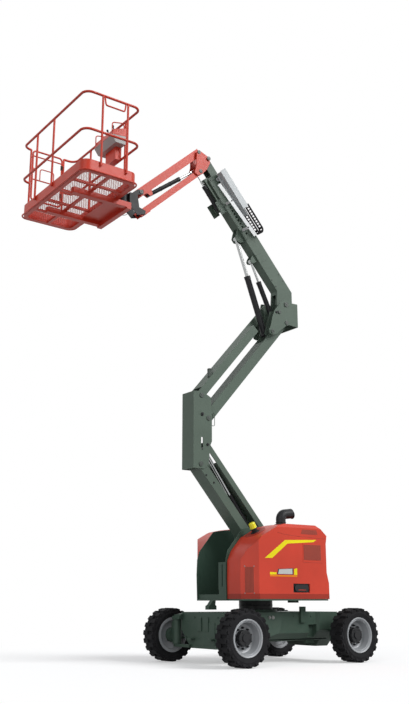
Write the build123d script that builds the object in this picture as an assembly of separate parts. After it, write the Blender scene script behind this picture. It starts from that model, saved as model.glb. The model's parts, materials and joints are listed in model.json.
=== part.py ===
"""Self-propelled articulating boom lift: four wheels, a slewing turret, two parallelogram
risers, a telescopic boom, a parallelogram jib and a rotating basket.

Millimetres. X forward (towards the basket), Y to the machine's near side, Z up from the floor.
The working frame has its origin on the floor under the middle of the wheelbase; everything is
moved at export so that the origin lies under the middle of the whole machine.
"""
import os
from math import atan2, cos, degrees, hypot, radians, sin

from build123d import *

os.makedirs("parts", exist_ok=True)

# ---- Clearances -------------------------------------------------------------------------
RUN = 0.05          # radial clearance of a pin in its hole
SIDE = 2.0          # side play between an eye or a link and the cheek beside it
SEAT = 0.3          # gap between a bolted-on piece and its flat seat

# ---- Running gear -----------------------------------------------------------------------
WHEELBASE = 1950.0
TRACK = 1700.0
TYRE_R = 360.0
TYRE_W = 240.0
RIM_R = 236.0
KINGPIN_Y = 640.0
HUB_FACE = TRACK / 2 - 40.0 - SEAT
KINGPIN_R = 28.0
STEER_ARM = 190.0
TIE_X = WHEELBASE / 2 - STEER_ARM
TIE_Z = 290.0

# ---- Chassis ----------------------------------------------------------------------------
CHASSIS_TOP = 668.0
CHASSIS_BOTTOM = 285.0
CHASSIS_HALF_L = WHEELBASE / 2 + 10.0
CHASSIS_HALF_W = 520.0
BELLY_Z = 200.0
BELLY_HALF_W = 290.0
BELLY_L = WHEELBASE / 2 - 215.0
WAIST_L = WHEELBASE / 2 - 375.0
WAIST_W = 480.0
PLINTH_TOP = 700.0
LASH_X = CHASSIS_HALF_L + 45.0
LASH_Y = 230.0
LASH_Z = 320.0
LASH_R = 20.0
SLEW_X = 80.0
SLEW_R = 235.0

# ---- Turret -----------------------------------------------------------------------------
TURRET_Z = 818.0
TURRET_FRONT = 850.0
TURRET_REAR = -560.0
CHEEK_Y = 328.0     # inner face of the turret's upright side plates
CHEEK_T = 12.0
COWL_Y = 800.0
NEAR_CORNER_X = 655.0
FAR_CORNER_X = 520.0
COWL_WALL = 25.0
ROOF_Z = 1832.0
LOUVRES = 8

# ---- Risers: two equal parallelograms that keep the knuckles upright -----------------------
RISER_ANGLE = 48.9
RISER_L = 2200.0
LOWER_PIN = (-321.0, 987.0)          # front link's pin in the turret
LOWER_OFFSET = (-117.0, 280.0)       # from a front-link pin to the rear-link pin beside it
MID_OFFSET = (-132.0, 657.0)         # from the front link's top pin to the lower long link's pin
UPPER_OFFSET = (122.0, 318.0)        # from a lower-long-link pin to the upper-long-link pin
PIN_R = 22.0

# ---- Boom, fly and jib -----------------------------------------------------------------
BOOM_ANGLE = 48.9
BOOM_PIVOT_OFFSET = (1.0, 297.0)     # from the lower long link's top pin to the boom pivot
BOOM_HALF_W = 80.0
BOOM_N = (108.0, 354.0)              # underside and top of the box above the pivot line
BOOM_L = 2245.0
FLY_NOSE = 280.0
FLY_L = BOOM_L + FLY_NOSE
FLY_TRAVEL = 900.0
JIB_ANGLE = -43.0
JIB_L = 1385.0
JIB_OFFSET = (-35.0, -310.0)         # from the upper beam's pins to the lower beam's

# ---- Basket ---------------------------------------------------------------------------
BASKET_W = 1900.0
BASKET_D = 840.0
BASKET_REACH = 308.0     # from the rotator's axis to the basket's nearest rail
BASKET_DROP = 107.0      # from the rotator housing's foot down to the basket's underside
TOE_H = 165.0
RAIL_H = 1120.0
RAIL_R = 17.0
POST_R = 15.0
FOOT_TUBE_R = 11.0
CONSOLE_Y = (90.0, 590.0)
CONSOLE_Z = 740.0        # underside of the control console above the basket's underside
CORNER_R = 130.0


# ---- Small geometry helpers --------------------------------------------------------------
def add(a, b):
    """Sum of two side-view points."""
    return (a[0] + b[0], a[1] + b[1])


def along(start, angle, s, n=0.0):
    """The side-view point s along a line at the angle from start, and n square above it."""
    c, d = cos(radians(angle)), sin(radians(angle))
    return (start[0] + s * c - n * d, start[1] + s * d + n * c)


def plate(outline, y0, y1):
    """A solid whose outline lies in the side view and which spans y0 to y1 across."""
    face = Plane.XZ.offset(-y1) * make_face(Polyline(*outline, close=True))
    return extrude(face, y1 - y0)


def pair(outline, y0, y1):
    """The same plate on both sides of the middle plane."""
    return plate(outline, y0, y1) + plate(outline, -y1, -y0)


def pin(at, r, y0, y1):
    """A round bar across the machine from y0 to y1."""
    return Pos(at[0], (y0 + y1) / 2, at[1]) * Rot(90, 0, 0) * Cylinder(r, y1 - y0)


def rod(a, b, r, y=0.0):
    """A round bar between two side-view points in the plane at y."""
    start, end = Vector(a[0], y, a[1]), Vector(b[0], y, b[1])
    return extrude(Plane(start, z_dir=end - start) * Circle(r), (end - start).length)


def box(x, y, z):
    """A block given by its three ranges."""
    size = (x[1] - x[0], y[1] - y[0], z[1] - z[0])
    return Pos((x[0] + x[1]) / 2, (y[0] + y[1]) / 2, (z[0] + z[1]) / 2) * Box(*size)


def tube(points, r, bend=0.0, close=False):
    """A bent round bar along 3-D points, with rounded corners."""
    if bend > 0:
        path = FilletPolyline(*points, radius=bend, close=close)
    else:
        path = Polyline(*points, close=close)
    return sweep(Plane(path @ 0, z_dir=path % 0) * Circle(r), path=path)


def beam(start, angle, s0, s1, n0, n1, y0, y1):
    """A straight bar in a tilted frame."""
    corners = [(s0, n0), (s1, n0), (s1, n1), (s0, n1)]
    return plate([along(start, angle, s, n) for s, n in corners], y0, y1)


parts = {}

# ---- Side-view points of the linkage -----------------------------------------------------
A0 = LOWER_PIN
B0 = add(A0, LOWER_OFFSET)
A1 = along(A0, RISER_ANGLE, RISER_L)
B1 = add(A1, LOWER_OFFSET)
D1 = add(A1, MID_OFFSET)
C1 = add(D1, UPPER_OFFSET)
BACK_ANGLE = 180.0 - RISER_ANGLE
D2 = along(D1, BACK_ANGLE, RISER_L)
C2 = add(D2, UPPER_OFFSET)
RISER_FOOT = add(A0, (-30.0, 62.0))
E = add(D2, BOOM_PIVOT_OFFSET)
LIFT_FOOT = add(E, (286.0, -482.0))
LIFT_EYE = along(E, BOOM_ANGLE, 1266.0, 19.0)
LEVEL_FOOT = add(E, (140.0, -150.0))
LEVEL_EYE = along(E, BOOM_ANGLE, 846.0, 30.0)
TIP = along(E, BOOM_ANGLE, FLY_L, 330.0)
JIB_TOP = add(TIP, (175.0, 60.0))
JIB_LOW = add(JIB_TOP, JIB_OFFSET)
JIB_TOP_END = along(JIB_TOP, JIB_ANGLE, JIB_L)
JIB_LOW_END = add(JIB_TOP_END, JIB_OFFSET)
ROTATOR_X = JIB_TOP_END[0] + 245
ROTATOR_Z = (JIB_LOW_END[1] + 20, JIB_TOP_END[1] - 60)
BASKET_X = (ROTATOR_X + BASKET_REACH, ROTATOR_X + BASKET_REACH + BASKET_D)
BASKET_Y = (-BASKET_W / 2, BASKET_W / 2)
BASKET_Z = ROTATOR_Z[0] - BASKET_DROP


# ---- Chassis ----------------------------------------------------------------------------
def mirrored(part):
    """A piece and its mirror image across the middle plane."""
    return part + part.mirror(Plane.XZ)


def chassis():
    """Welded box with a waist between the axles, belly, kingpin lugs, lashing eyes and pockets."""
    end = [(-CHASSIS_HALF_W, CHASSIS_TOP), (CHASSIS_HALF_W, CHASSIS_TOP),
           (CHASSIS_HALF_W, 430), (BELLY_HALF_W, BELLY_Z), (-BELLY_HALF_W, BELLY_Z),
           (-CHASSIS_HALF_W, 430)]
    body = Plane.YZ.offset(-CHASSIS_HALF_L) * make_face(Polyline(*end, close=True))
    body = extrude(body, 2 * CHASSIS_HALF_L)
    waist = extrude(Plane.XY * make_face(Polyline(
        (-WAIST_L, WAIST_W), (WAIST_L, WAIST_W), (WAIST_L + 160, CHASSIS_HALF_W + 5),
        (WAIST_L + 160, 900), (-WAIST_L - 60, 900), (-WAIST_L - 60, CHASSIS_HALF_W + 5), close=True)), 900)
    body -= mirrored(waist)
    body -= box((-BELLY_L, BELLY_L), (-600, 600), (0, CHASSIS_BOTTOM))
    body -= box((-WHEELBASE / 2 + 95, TIE_X - 80), (-400, 400), (CHASSIS_BOTTOM + 12, CHASSIS_TOP - 12))
    body += Pos(SLEW_X, 0, (CHASSIS_TOP + PLINTH_TOP) / 2) * Cylinder(300, PLINTH_TOP - CHASSIS_TOP)
    body -= box((TIE_X - 40, TIE_X + 75), (-600, 600), (0, TIE_Z + 62))
    for end in (-1, 1):
        for side in (-1, 1):
            x = sorted((end * (CHASSIS_HALF_L - 5), end * (CHASSIS_HALF_L + 75)))
            eye = box(x, (side * LASH_Y - 45, side * LASH_Y + 45), (LASH_Z - 10, LASH_Z + 10))
            body += eye - Pos(end * LASH_X, side * LASH_Y, LASH_Z) * Cylinder(LASH_R, 60)
    lug = box((WHEELBASE / 2 - 75, WHEELBASE / 2 + 75), (480, KINGPIN_Y), (572, 612))
    lug += Pos(WHEELBASE / 2, KINGPIN_Y, 592) * Cylinder(75, 40)
    lug += box((WHEELBASE / 2 - 50, WHEELBASE / 2 + 50), (280, KINGPIN_Y), (206, 243))
    lug += Pos(WHEELBASE / 2, KINGPIN_Y, 224.5) * Cylinder(50, 37)
    lug += Pos(WHEELBASE / 2, KINGPIN_Y, 408) * Cylinder(KINGPIN_R, 400)
    lug += Pos(WHEELBASE / 2, KINGPIN_Y, 622) * Cylinder(44, 22)
    lug += Pos(WHEELBASE / 2, 0, 0) * plate([(-60, 612), (60, 612), (60, 640), (-60, 655)], 470, 560)
    lug += pin((-WHEELBASE / 2, TYRE_R), 120, 480, 685)
    lug += pin((-WHEELBASE / 2, TYRE_R), 84, 600, HUB_FACE)
    lug += box((-395, -305), (WAIST_W - 2, WAIST_W + 35), (527, 739))
    lug += box((-WAIST_L - 60, -WAIST_L + 90), (300, 372), (245, 300))
    body += mirrored(lug)
    pocket = box((-WAIST_L - 10, -WAIST_L + 130), (WAIST_W - 60, 600), (315, 498))
    body -= mirrored(pocket)
    for y in (-80, 80):
        body += box((CHASSIS_HALF_L - 1, CHASSIS_HALF_L + 14), (y - 45, y + 45), (420, 600))
    return body


def slew_ring():
    """Bearing between the plinth and the turret."""
    height = TURRET_Z - PLINTH_TOP - 2 * SEAT
    return Pos(SLEW_X, 0, PLINTH_TOP + SEAT + height / 2) * Cylinder(SLEW_R, height)


parts["chassis_frame"] = chassis()
parts["slew_ring"] = slew_ring()


def knuckle(side):
    """Steering knuckle: sleeve round the kingpin, hub motor housing and steering arm."""
    y = side * KINGPIN_Y
    sleeve = Pos(WHEELBASE / 2, y, 407.5) * Cylinder(62, 325)
    hub = Pos(WHEELBASE / 2, side * 740, TYRE_R) * Rot(90, 0, 0) * Cylinder(100, 90)
    hub += pin((WHEELBASE / 2, TYRE_R), 84, *sorted((side * 700, side * HUB_FACE)))
    neck = box((WHEELBASE / 2 - 55, WHEELBASE / 2 + 55), tuple(sorted((side * 660, side * 700))),
               (300, 540))
    arm = box((TIE_X, WHEELBASE / 2 - 40), tuple(sorted((side * 620, side * 660))),
              (TIE_Z + 21, TIE_Z + 45))
    knob = Pos(TIE_X, y, TIE_Z + 33) * Cylinder(30, 24)
    body = sleeve + hub + neck + arm + knob
    return body - Pos(WHEELBASE / 2, y, 420) * Cylinder(KINGPIN_R + RUN, 400)


parts["steering_knuckle_near"] = knuckle(1)
parts["steering_knuckle_far"] = knuckle(-1)
parts["tie_rod"] = (Pos(TIE_X, 0, TIE_Z) * Rot(90, 0, 0) * Cylinder(18, 2 * KINGPIN_Y)
                    + Pos(TIE_X, KINGPIN_Y, TIE_Z + 2.5) * Cylinder(28, 36)
                    + Pos(TIE_X, -KINGPIN_Y, TIE_Z + 2.5) * Cylinder(28, 36))

LUGS = 20
LUG_DEPTH = 22.0


def tyre_with_lugs():
    """Carcass with two toothed bands, one on each half, half a pitch apart."""
    half = TYRE_W / 2
    shoulder = half - 12
    crown = TYRE_R - LUG_DEPTH
    section = [(RIM_R, -half + 16), (crown - 46, -half), (crown - 8, -shoulder + 2),
               (crown - 8, shoulder - 2), (crown - 46, half), (RIM_R, half - 16)]
    tyre = revolve(make_face(Polyline(*section, close=True)), Axis.Y, 360)
    pitch = 360.0 / LUGS
    for side, phase in ((-1, 0.0), (1, 0.5)):
        teeth = []
        for i in range(LUGS):
            start = (i + phase) * pitch
            teeth += [(TYRE_R, start), (TYRE_R, start + 0.52 * pitch),
                      (crown, start + 0.60 * pitch), (crown, start + 0.92 * pitch)]
        points = [(r * cos(radians(a)), r * sin(radians(a))) for r, a in teeth]
        band = extrude(Plane.XZ * make_face(Polyline(*points, close=True)), -side * shoulder)
        tyre += band - Rot(90, 0, 0) * Cylinder(crown - 30, 2 * TYRE_W)
    return tyre


def rim(outward):
    """Dished wheel with a drop centre, round bolt face and hub cap, dished side outward."""
    half = TYRE_W / 2
    section = [(0, -40), (95, -40), (120, -30), (150, 20), (185, 24), (196, -half + 20),
               (RIM_R - SEAT, -half + 16), (RIM_R - SEAT, half - 16), (214, half - 10),
               (200, half - 26), (188, 46), (150, 40), (108, -10), (90, -16), (84, 30), (0, 30)]
    wheel = revolve(make_face(Polyline(*section, close=True)), Axis.Y, 360)
    return wheel if outward > 0 else wheel.mirror(Plane.XZ)


WHEELS = [("front_near", WHEELBASE / 2, 1), ("front_far", WHEELBASE / 2, -1),
          ("rear_near", -WHEELBASE / 2, 1), ("rear_far", -WHEELBASE / 2, -1)]
ONE_TYRE = tyre_with_lugs()
for name, x, side in WHEELS:
    centre = Pos(x, side * TRACK / 2, TYRE_R)
    parts["tyre_" + name] = centre * ONE_TYRE
    parts["rim_" + name] = centre * rim(side)


# ---- Turret -----------------------------------------------------------------------------
def cheek_outline():
    """Side view of the turret's upright plates."""
    return [(TURRET_REAR + 20, TURRET_Z + 20), (TURRET_FRONT, TURRET_Z + 20),
            (TURRET_FRONT + 10, 1165), (TURRET_FRONT, 1367), (817, 1477), (572, 1765),
            (482, 1783), (302, 1806), (TURRET_REAR + 160, 1806), (TURRET_REAR + 20, 1660)]


def footprint(z0, z1):
    """Prism of the turret's plan: chamfered near front corner, swept far front, square rear."""
    cheek = CHEEK_Y + CHEEK_T
    plan = [(TURRET_REAR, -COWL_Y), (TURRET_REAR, COWL_Y), (NEAR_CORNER_X, COWL_Y),
            (TURRET_FRONT - 20, COWL_Y - 170), (TURRET_FRONT - 20, cheek), (TURRET_FRONT, cheek),
            (TURRET_FRONT, -cheek), (TURRET_FRONT - 20, -CHEEK_Y - 30), (FAR_CORNER_X, -COWL_Y)]
    return extrude(Plane.XY.offset(z0) * make_face(Polyline(*plan, close=True)), z1 - z0)


def turret():
    """Deck plate with upright side plates, pin posts, the cylinder's foot and the front box."""
    deck = footprint(TURRET_Z, TURRET_Z + 20)
    cheeks = pair(cheek_outline(), CHEEK_Y, CHEEK_Y + CHEEK_T)
    posts = pair([(-560, TURRET_Z + 20), (-200, TURRET_Z + 20), (-220, 1250), (-360, 1340),
                  (-520, 1340)], 150, 170)
    posts += pair([(RISER_FOOT[0] - 70, TURRET_Z + 20), (RISER_FOOT[0] + 62, TURRET_Z + 20),
                   add(RISER_FOOT, (45, 10)), add(RISER_FOOT, (20, 45)), add(RISER_FOOT, (-30, 45)),
                   add(RISER_FOOT, (-55, 0))], 52, 66)
    pins = pin(RISER_FOOT, PIN_R, -60, 60)
    for at in (A0, B0):
        pins += mirrored(pin(at, PIN_R, 88, 174))
    ties = mirrored(box((-545, -525), (165, CHEEK_Y + 1), (TURRET_Z + 20, 1300)))
    front = box((TURRET_FRONT - 90, TURRET_FRONT - 10), (150, CHEEK_Y + 1), (960, 1320))
    front -= box((TURRET_FRONT - 30, TURRET_FRONT), (225, 245), (1000, 1290))
    front += box((TURRET_FRONT - 150, TURRET_FRONT - 4), (170, CHEEK_Y + 1), (TURRET_Z + 19, 960))
    front += box((TURRET_FRONT - 150, TURRET_FRONT - 20), (-CHEEK_Y - 1, CHEEK_Y + 1),
                 (TURRET_Z + 19, 900))
    stop = plate([(923, TURRET_Z - 118), (792, TURRET_Z - 118), (792, TURRET_Z - 70),
                  (812, TURRET_Z - 55), (805, TURRET_Z + 2), (TURRET_FRONT, TURRET_Z + 2),
                  (895, TURRET_Z - 55), (923, TURRET_Z - 70)], -40, 40)
    tab = box((-430, -280), (270, 330), (TURRET_Z - 28, TURRET_Z + 1))
    return deck + cheeks + posts + pins + ties + front + stop + tab


parts["turret_frame"] = turret()


def cowl_form(inset, side):
    """Solid form of a cowl, moved inward by an inset: side profile, plan and sloping shoulders."""
    z0 = TURRET_Z + 20 + SEAT - (1 if inset else 0)
    k = inset
    profile = [(TURRET_REAR - 25 + k, z0), (TURRET_FRONT - 20 - k, z0), (TURRET_FRONT - 14 - k, 1085),
               (TURRET_FRONT - 20 - k, 1338), (772 - k, 1462), (611 - k, 1642 - k),
               (320, 1795 - k), (150, ROOF_Z - k), (-400, ROOF_Z - k), (TURRET_REAR - 8 + k, 1690 - k),
               (TURRET_REAR + 12 + k, 1580), (TURRET_REAR + 12 + k, 1190), (TURRET_REAR - 25 + k, 1050)]
    y_in = CHEEK_Y + CHEEK_T + SEAT
    form = plate(profile, y_in + (18 if k else 0), COWL_Y - k)
    corner = NEAR_CORNER_X if side > 0 else FAR_CORNER_X
    front_y = COWL_Y - 170 if side > 0 else CHEEK_Y + 30
    chamfer = make_face(Polyline((TURRET_FRONT + 60, front_y - k - 0.4 * (80 + k)), (TURRET_FRONT + 60, 1000),
                                 (corner - 2 * k, 1000), (corner - 2 * k, COWL_Y - 0.2 * k),
                                 (TURRET_FRONT - 20 - k, front_y - k), close=True))
    form -= extrude(Plane.XY.offset(z0 - 10) * chamfer, 1200)
    return form


def shoulder(y, z, dy, dz):
    """Long wedge that slopes a cowl's upper outer edge."""
    face = Plane.YZ.offset(-900) * make_face(Polyline((y + 40, z - dz - 40 * dz / dy), (y + 40, z + 60),
                                                     (y - dy - 30, z + 60), (y - dy, z), close=True))
    return extrude(face, 2000)


def cowl(side):
    """Moulded cowl with a sloping shoulder, louvre, handle recess, roof vent and skirt."""
    shell = cowl_form(0, side) - cowl_form(COWL_WALL, side)
    outer_edge = shoulder(COWL_Y, 1840, 55, 60)
    shell -= outer_edge
    x0, x1 = -430, -142
    for i in range(LOUVRES):
        z = 1366 + i * 176 / LOUVRES
        shell -= box((x0, x1), (COWL_Y - 8, COWL_Y + 5), (z, z + 88 / LOUVRES))
    shell -= box((-228, 68), (COWL_Y - 20, COWL_Y + 5), (922, 1039))
    shell -= box((-370, -80), (CHEEK_Y + 120, CHEEK_Y + 300), (1826, 1840))
    shell += box((-150, -10), (COWL_Y - 26, COWL_Y - 6), (955, 1006))
    return shell if side > 0 else shell.mirror(Plane.XZ)


parts["cowl_near"] = cowl(1)
parts["cowl_far"] = cowl(-1)
parts["counterweight"] = box((TURRET_REAR + 40, TURRET_REAR + 110), (-CHEEK_Y + 2, CHEEK_Y - 2),
                             (TURRET_Z + 20 + SEAT, 1180)) - pair(
    [(-600, TURRET_Z), (-180, TURRET_Z), (-180, 1400), (-600, 1400)], 145, 175)
parts["engine"] = box((-430, 130), (420, 720), (TURRET_Z + 20 + SEAT, 1330))


def exhaust():
    """Upright pipe on the near cowl's roof with an elbow to the rear."""
    foot = (60.0, ROOF_Z + SEAT)
    path = FilletPolyline((foot[0], 560, foot[1]), (foot[0], 560, foot[1] + 140),
                          (foot[0] - 190, 560, foot[1] + 165), radius=75)
    return sweep(Plane((foot[0], 560, foot[1])) * Circle(68), path=path)


parts["exhaust_stack"] = exhaust()


def beacon():
    """Amber lamp with a domed lens on a dark foot, square to the cowl's sloping roof."""
    seat = Plane((470, 500, 1716.7), x_dir=(0.885, 0, -0.465), z_dir=(0.465, 0, 0.885))
    lamp = Pos(0, 0, 27 + SEAT) * Cylinder(40, 54) + Pos(0, 0, 60) * Cylinder(52, 14)
    lens = Pos(0, 0, 104) * Cylinder(46, 80)
    lens = fillet(lens.edges().sort_by(Axis.Z)[-1], 24)
    return seat * (lamp + lens)


parts["beacon"] = beacon()
parts["ground_control_box"] = box((-300, 60), (-700, -420), (TURRET_Z + 20 + SEAT, 1250))


# ---- Risers -----------------------------------------------------------------------------
def channel(start, angle, length, n0, n1, half, wall, tail, nose, web_on_top, web_range):
    """Link of two side walls and one web, with an eye for a pin at both ends."""
    side = beam(start, angle, -tail, length + nose, n0, n1, half - wall, half)
    side += beam(start, angle, -tail, length + nose, n0, n1, -half, -half + wall)
    web_n = (n1 - wall, n1) if web_on_top else (n0, n0 + wall)
    side += beam(start, angle, web_range[0], web_range[1], web_n[0], web_n[1], -half, half)
    for s in (0.0, length):
        side -= pin(along(start, angle, s), PIN_R + RUN, -half - 5, half + 5)
    return side


parts["riser_link_front"] = channel(A0, RISER_ANGLE, RISER_L, -41, 88, 125, 12, 60, 70, False,
                                    (130, RISER_L - 40))
parts["riser_link_rear"] = channel(B0, RISER_ANGLE, RISER_L, -30, 50, 115, 12, 50, 40, True,
                                   (100, RISER_L - 330))
MID_HALF = 140.0
MID_T = 10.0


def mid_knuckle():
    """Tall upright box, open at the back, that carries four link pins."""
    x0, x1 = A1[0] - 190, A1[0] + 127
    z0, z1 = A1[1] - 65, A1[1] + 1020
    outline = [(x1, z0), (x1, z1), (x1 - 150, z1 + 15), (x0 + 20, z1 - 60), (x0, z1 - 260), (x0, A1[1] + 330),
               (x0 + 28, A1[1] + 270), (x0 + 60, z0 + 60), (x0 + 130, z0)]
    sides = pair(outline, MID_HALF - MID_T, MID_HALF)
    front = box((x1 - MID_T, x1), (-MID_HALF, MID_HALF), (z0, z1))
    body = sides + front
    for at in (A1, C1, D1):
        body += pin(at, PIN_R, -MID_HALF - 4, MID_HALF + 4)
    body += pin(B1, PIN_R, 45, MID_HALF + 4) + pin(B1, PIN_R, -MID_HALF - 4, -45)
    body += pin((A1[0] - 19, A1[1] + 710), 38, MID_HALF, MID_HALF + 5)
    y = MID_HALF - MID_T / 2
    body += tube([(x0 + 10, y, A1[1] + 555), (x0 - 50, y, A1[1] + 555), (x0 - 50, y, A1[1] + 740),
                  (x0 + 12, y, A1[1] + 740)], 4.5, 22)
    slot = plate([(A1[0] - 35, A1[1] + 195), (A1[0] - 5, A1[1] + 195), (A1[0] - 5, A1[1] + 375),
                  (A1[0] - 35, A1[1] + 375)], -MID_HALF - 9, MID_HALF + 9)
    return body - slot


parts["mid_knuckle"] = mid_knuckle()

NEAR_WALL_STOP = 640.0    # the upper long link keeps only its far wall this far from the top pin


def upper_long_link():
    """Box link whose last stretch is the far wall alone, so that the lift cylinder passes it."""
    half, wall = 115.0, 12.0
    far = beam(C1, BACK_ANGLE, -70, RISER_L + 50, -62, 62, -half, -half + 2 * wall)
    near = beam(C1, BACK_ANGLE, -70, RISER_L - NEAR_WALL_STOP, -62, 62, half - wall, half)
    lid = beam(C1, BACK_ANGLE, 120, RISER_L - NEAR_WALL_STOP, -62, -62 + wall, -half, half)
    link = far + near + lid
    for s in (0.0, RISER_L):
        link -= pin(along(C1, BACK_ANGLE, s), PIN_R + RUN, -half - 5, half + 5)
    return link


def lower_long_link():
    """Box link with an open fork at its top end."""
    half, wall = 115.0, 12.0
    link = beam(D1, BACK_ANGLE, -60, RISER_L + 62, -73, 73, half - 2 * wall, half)
    link += beam(D1, BACK_ANGLE, -60, RISER_L + 62, -73, 73, -half, -half + 2 * wall)
    link += beam(D1, BACK_ANGLE, 140, RISER_L - 520, -73, -73 + wall, -half, half)
    link += beam(D1, BACK_ANGLE, 140, RISER_L - 520, 73 - wall, 73, -half, half)
    for s in (0.0, RISER_L):
        link -= pin(along(D1, BACK_ANGLE, s), PIN_R + RUN, -half - 5, half + 5)
    return link


parts["upper_riser_link_upper"] = upper_long_link()
parts["upper_riser_link_lower"] = lower_long_link()
TOP_HALF = 200.0
TOP_T = 12.0


def top_knuckle():
    """Wide open box: two shaped cheeks, a low back plate, inner cheeks for the two cylinders."""
    shape = [(226, -125), (269, -222), (313, -391), (348, -461), (336, -522), (277, -536),
             (197, -506), (115, -435), (1, -342), (-71, -321), (-235, -332), (-235, 46),
             (-125, 44), (-48, 73), (59, 71), (111, 36), (150, -40)]
    cheek = [add(E, p) for p in shape]
    body = plate(cheek, TOP_HALF - TOP_T, TOP_HALF)
    far_shape = [p for p in shape if p[0] < 200] + [(226, -125)]
    far_shape = [(226, -125), (269, -222), (313, -391), (348, -461), (336, -522), (277, -536),
                 (197, -506), (115, -435), (1, -342), (-71, -321), (-235, -332), (-235, 46),
                 (-125, 44), (-48, 73), (80, 90), (180, 75), (200, -20)]
    body += plate([add(E, p) for p in far_shape], -TOP_HALF, -TOP_HALF + TOP_T)
    body += box((E[0] - 235, E[0] - 235 + TOP_T), (-TOP_HALF, TOP_HALF), (E[1] - 332, E[1] - 120))
    inner = [(330, -500), (290, -530), (240, -500), (20, -190), (30, -110), (150, -100),
             (215, -120), (235, -190)]
    body += pair([add(E, p) for p in inner], 55, 70)
    body += pin(add(E, (52, -157)), 32, -TOP_HALF + 1, TOP_HALF - 1)
    body += pin(E, 30, -TOP_HALF - 5, TOP_HALF + 5)
    body += pin(D2, PIN_R, -TOP_HALF - 4, TOP_HALF + 4)
    body += pin(C2, PIN_R, -TOP_HALF - 4, -84)
    body += pin(LIFT_FOOT, PIN_R, -60, 60)
    body += pin(LEVEL_FOOT, PIN_R, -60, 60)
    for at in (LIFT_FOOT, LEVEL_FOOT):
        body += pin(at, 30, TOP_HALF - 1, TOP_HALF + 6)
    return body


parts["top_knuckle"] = top_knuckle()


# ---- Cylinders --------------------------------------------------------------------------
GLAND = 3.0         # the gland nut stands this far proud of the barrel


def cylinder(name, foot, eye, barrel_r, rod_r, bore, inner, barrel_end, eye_w, foot_pin_r, eye_r):
    """A hydraulic cylinder: barrel with a foot eye and a bore, rod with a plain eye."""
    length = hypot(eye[0] - foot[0], eye[1] - foot[1])
    angle = degrees(atan2(eye[1] - foot[1], eye[0] - foot[0]))
    barrel = rod(along(foot, angle, 10), along(foot, angle, barrel_end), barrel_r)
    gland = rod(along(foot, angle, barrel_end - 45), along(foot, angle, barrel_end), barrel_r + GLAND)
    barrel += gland + pin(foot, 0.9 * barrel_r, -eye_w / 2, eye_w / 2)
    barrel -= pin(foot, foot_pin_r + RUN, -100, 100)
    barrel -= rod(along(foot, angle, bore), along(foot, angle, barrel_end + 5), rod_r + RUN)
    parts[name + "_barrel"] = barrel
    shaft = rod(along(foot, angle, inner), along(foot, angle, length - eye_r * 0.6), rod_r)
    shaft += pin(eye, eye_r, -eye_w / 2, eye_w / 2)
    parts[name + "_rod"] = shaft
    return length, angle


cylinder("riser_cylinder", RISER_FOOT, B1, 44, 28, 70, 800, 1500, 80, PIN_R, 38)
cylinder("lift_cylinder", LIFT_FOOT, LIFT_EYE, 47, 26, 70, 600, 935, 80, PIN_R, 34)
cylinder("level_cylinder", LEVEL_FOOT, LEVEL_EYE, 38, 18, 70, 350, 560, 80, PIN_R, 30)


# ---- Boom and fly -----------------------------------------------------------------------
def boom():
    """Box boom with its tail ears, cylinder lugs and a collar, hollow for the fly."""
    n0, n1 = BOOM_N
    outline = [(BOOM_L, n0), (230, n0), (70, -50), (0, -70), (-65, -30), (-95, 60), (-95, 150),
               (-72, 242), (58, n1), (BOOM_L, n1)]
    body = plate([along(E, BOOM_ANGLE, s, n) for s, n in outline], -BOOM_HALF_W, BOOM_HALF_W)
    body -= beam(E, BOOM_ANGLE, 120, BOOM_L + 10, n0 + 12, n1 - 12, -BOOM_HALF_W + 10,
                 BOOM_HALF_W - 10)
    body -= beam(E, BOOM_ANGLE, -200, 190, -100, n0 + 12, -45, 45)
    body -= pin(E, 30 + RUN, -100, 100)
    collar = beam(E, BOOM_ANGLE, BOOM_L - 30, BOOM_L, n0, n1 + 8, -BOOM_HALF_W - 8,
                  BOOM_HALF_W + 8)
    collar -= beam(E, BOOM_ANGLE, BOOM_L - 70, BOOM_L + 10, n0, n1, -BOOM_HALF_W, BOOM_HALF_W)
    body += collar
    for first, count in ((1230, 6), (1583, 4)):
        for i in range(count):
            s = first + 59 * i
            body -= beam(E, BOOM_ANGLE, s, s + 30, 178, 218, BOOM_HALF_W - 12, BOOM_HALF_W + 5)
    body -= beam(E, BOOM_ANGLE, 1150, 1390, n0 - 5, n0 + 13, -42, 42)
    lug = [(1150, n0), (1180, 20), (1230, -25), (1290, -25), (1330, 30), (1380, n0)]
    body += pair([along(E, BOOM_ANGLE, s, n) for s, n in lug], 42, 54)
    lug = [(790, n0), (805, 20), (830, -15), (865, -15), (890, 25), (920, n0)]
    body += pair([along(E, BOOM_ANGLE, s, n) for s, n in lug], 42, 54)
    return body


parts["boom"] = boom()


CARRIER_Y = 205.0


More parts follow.
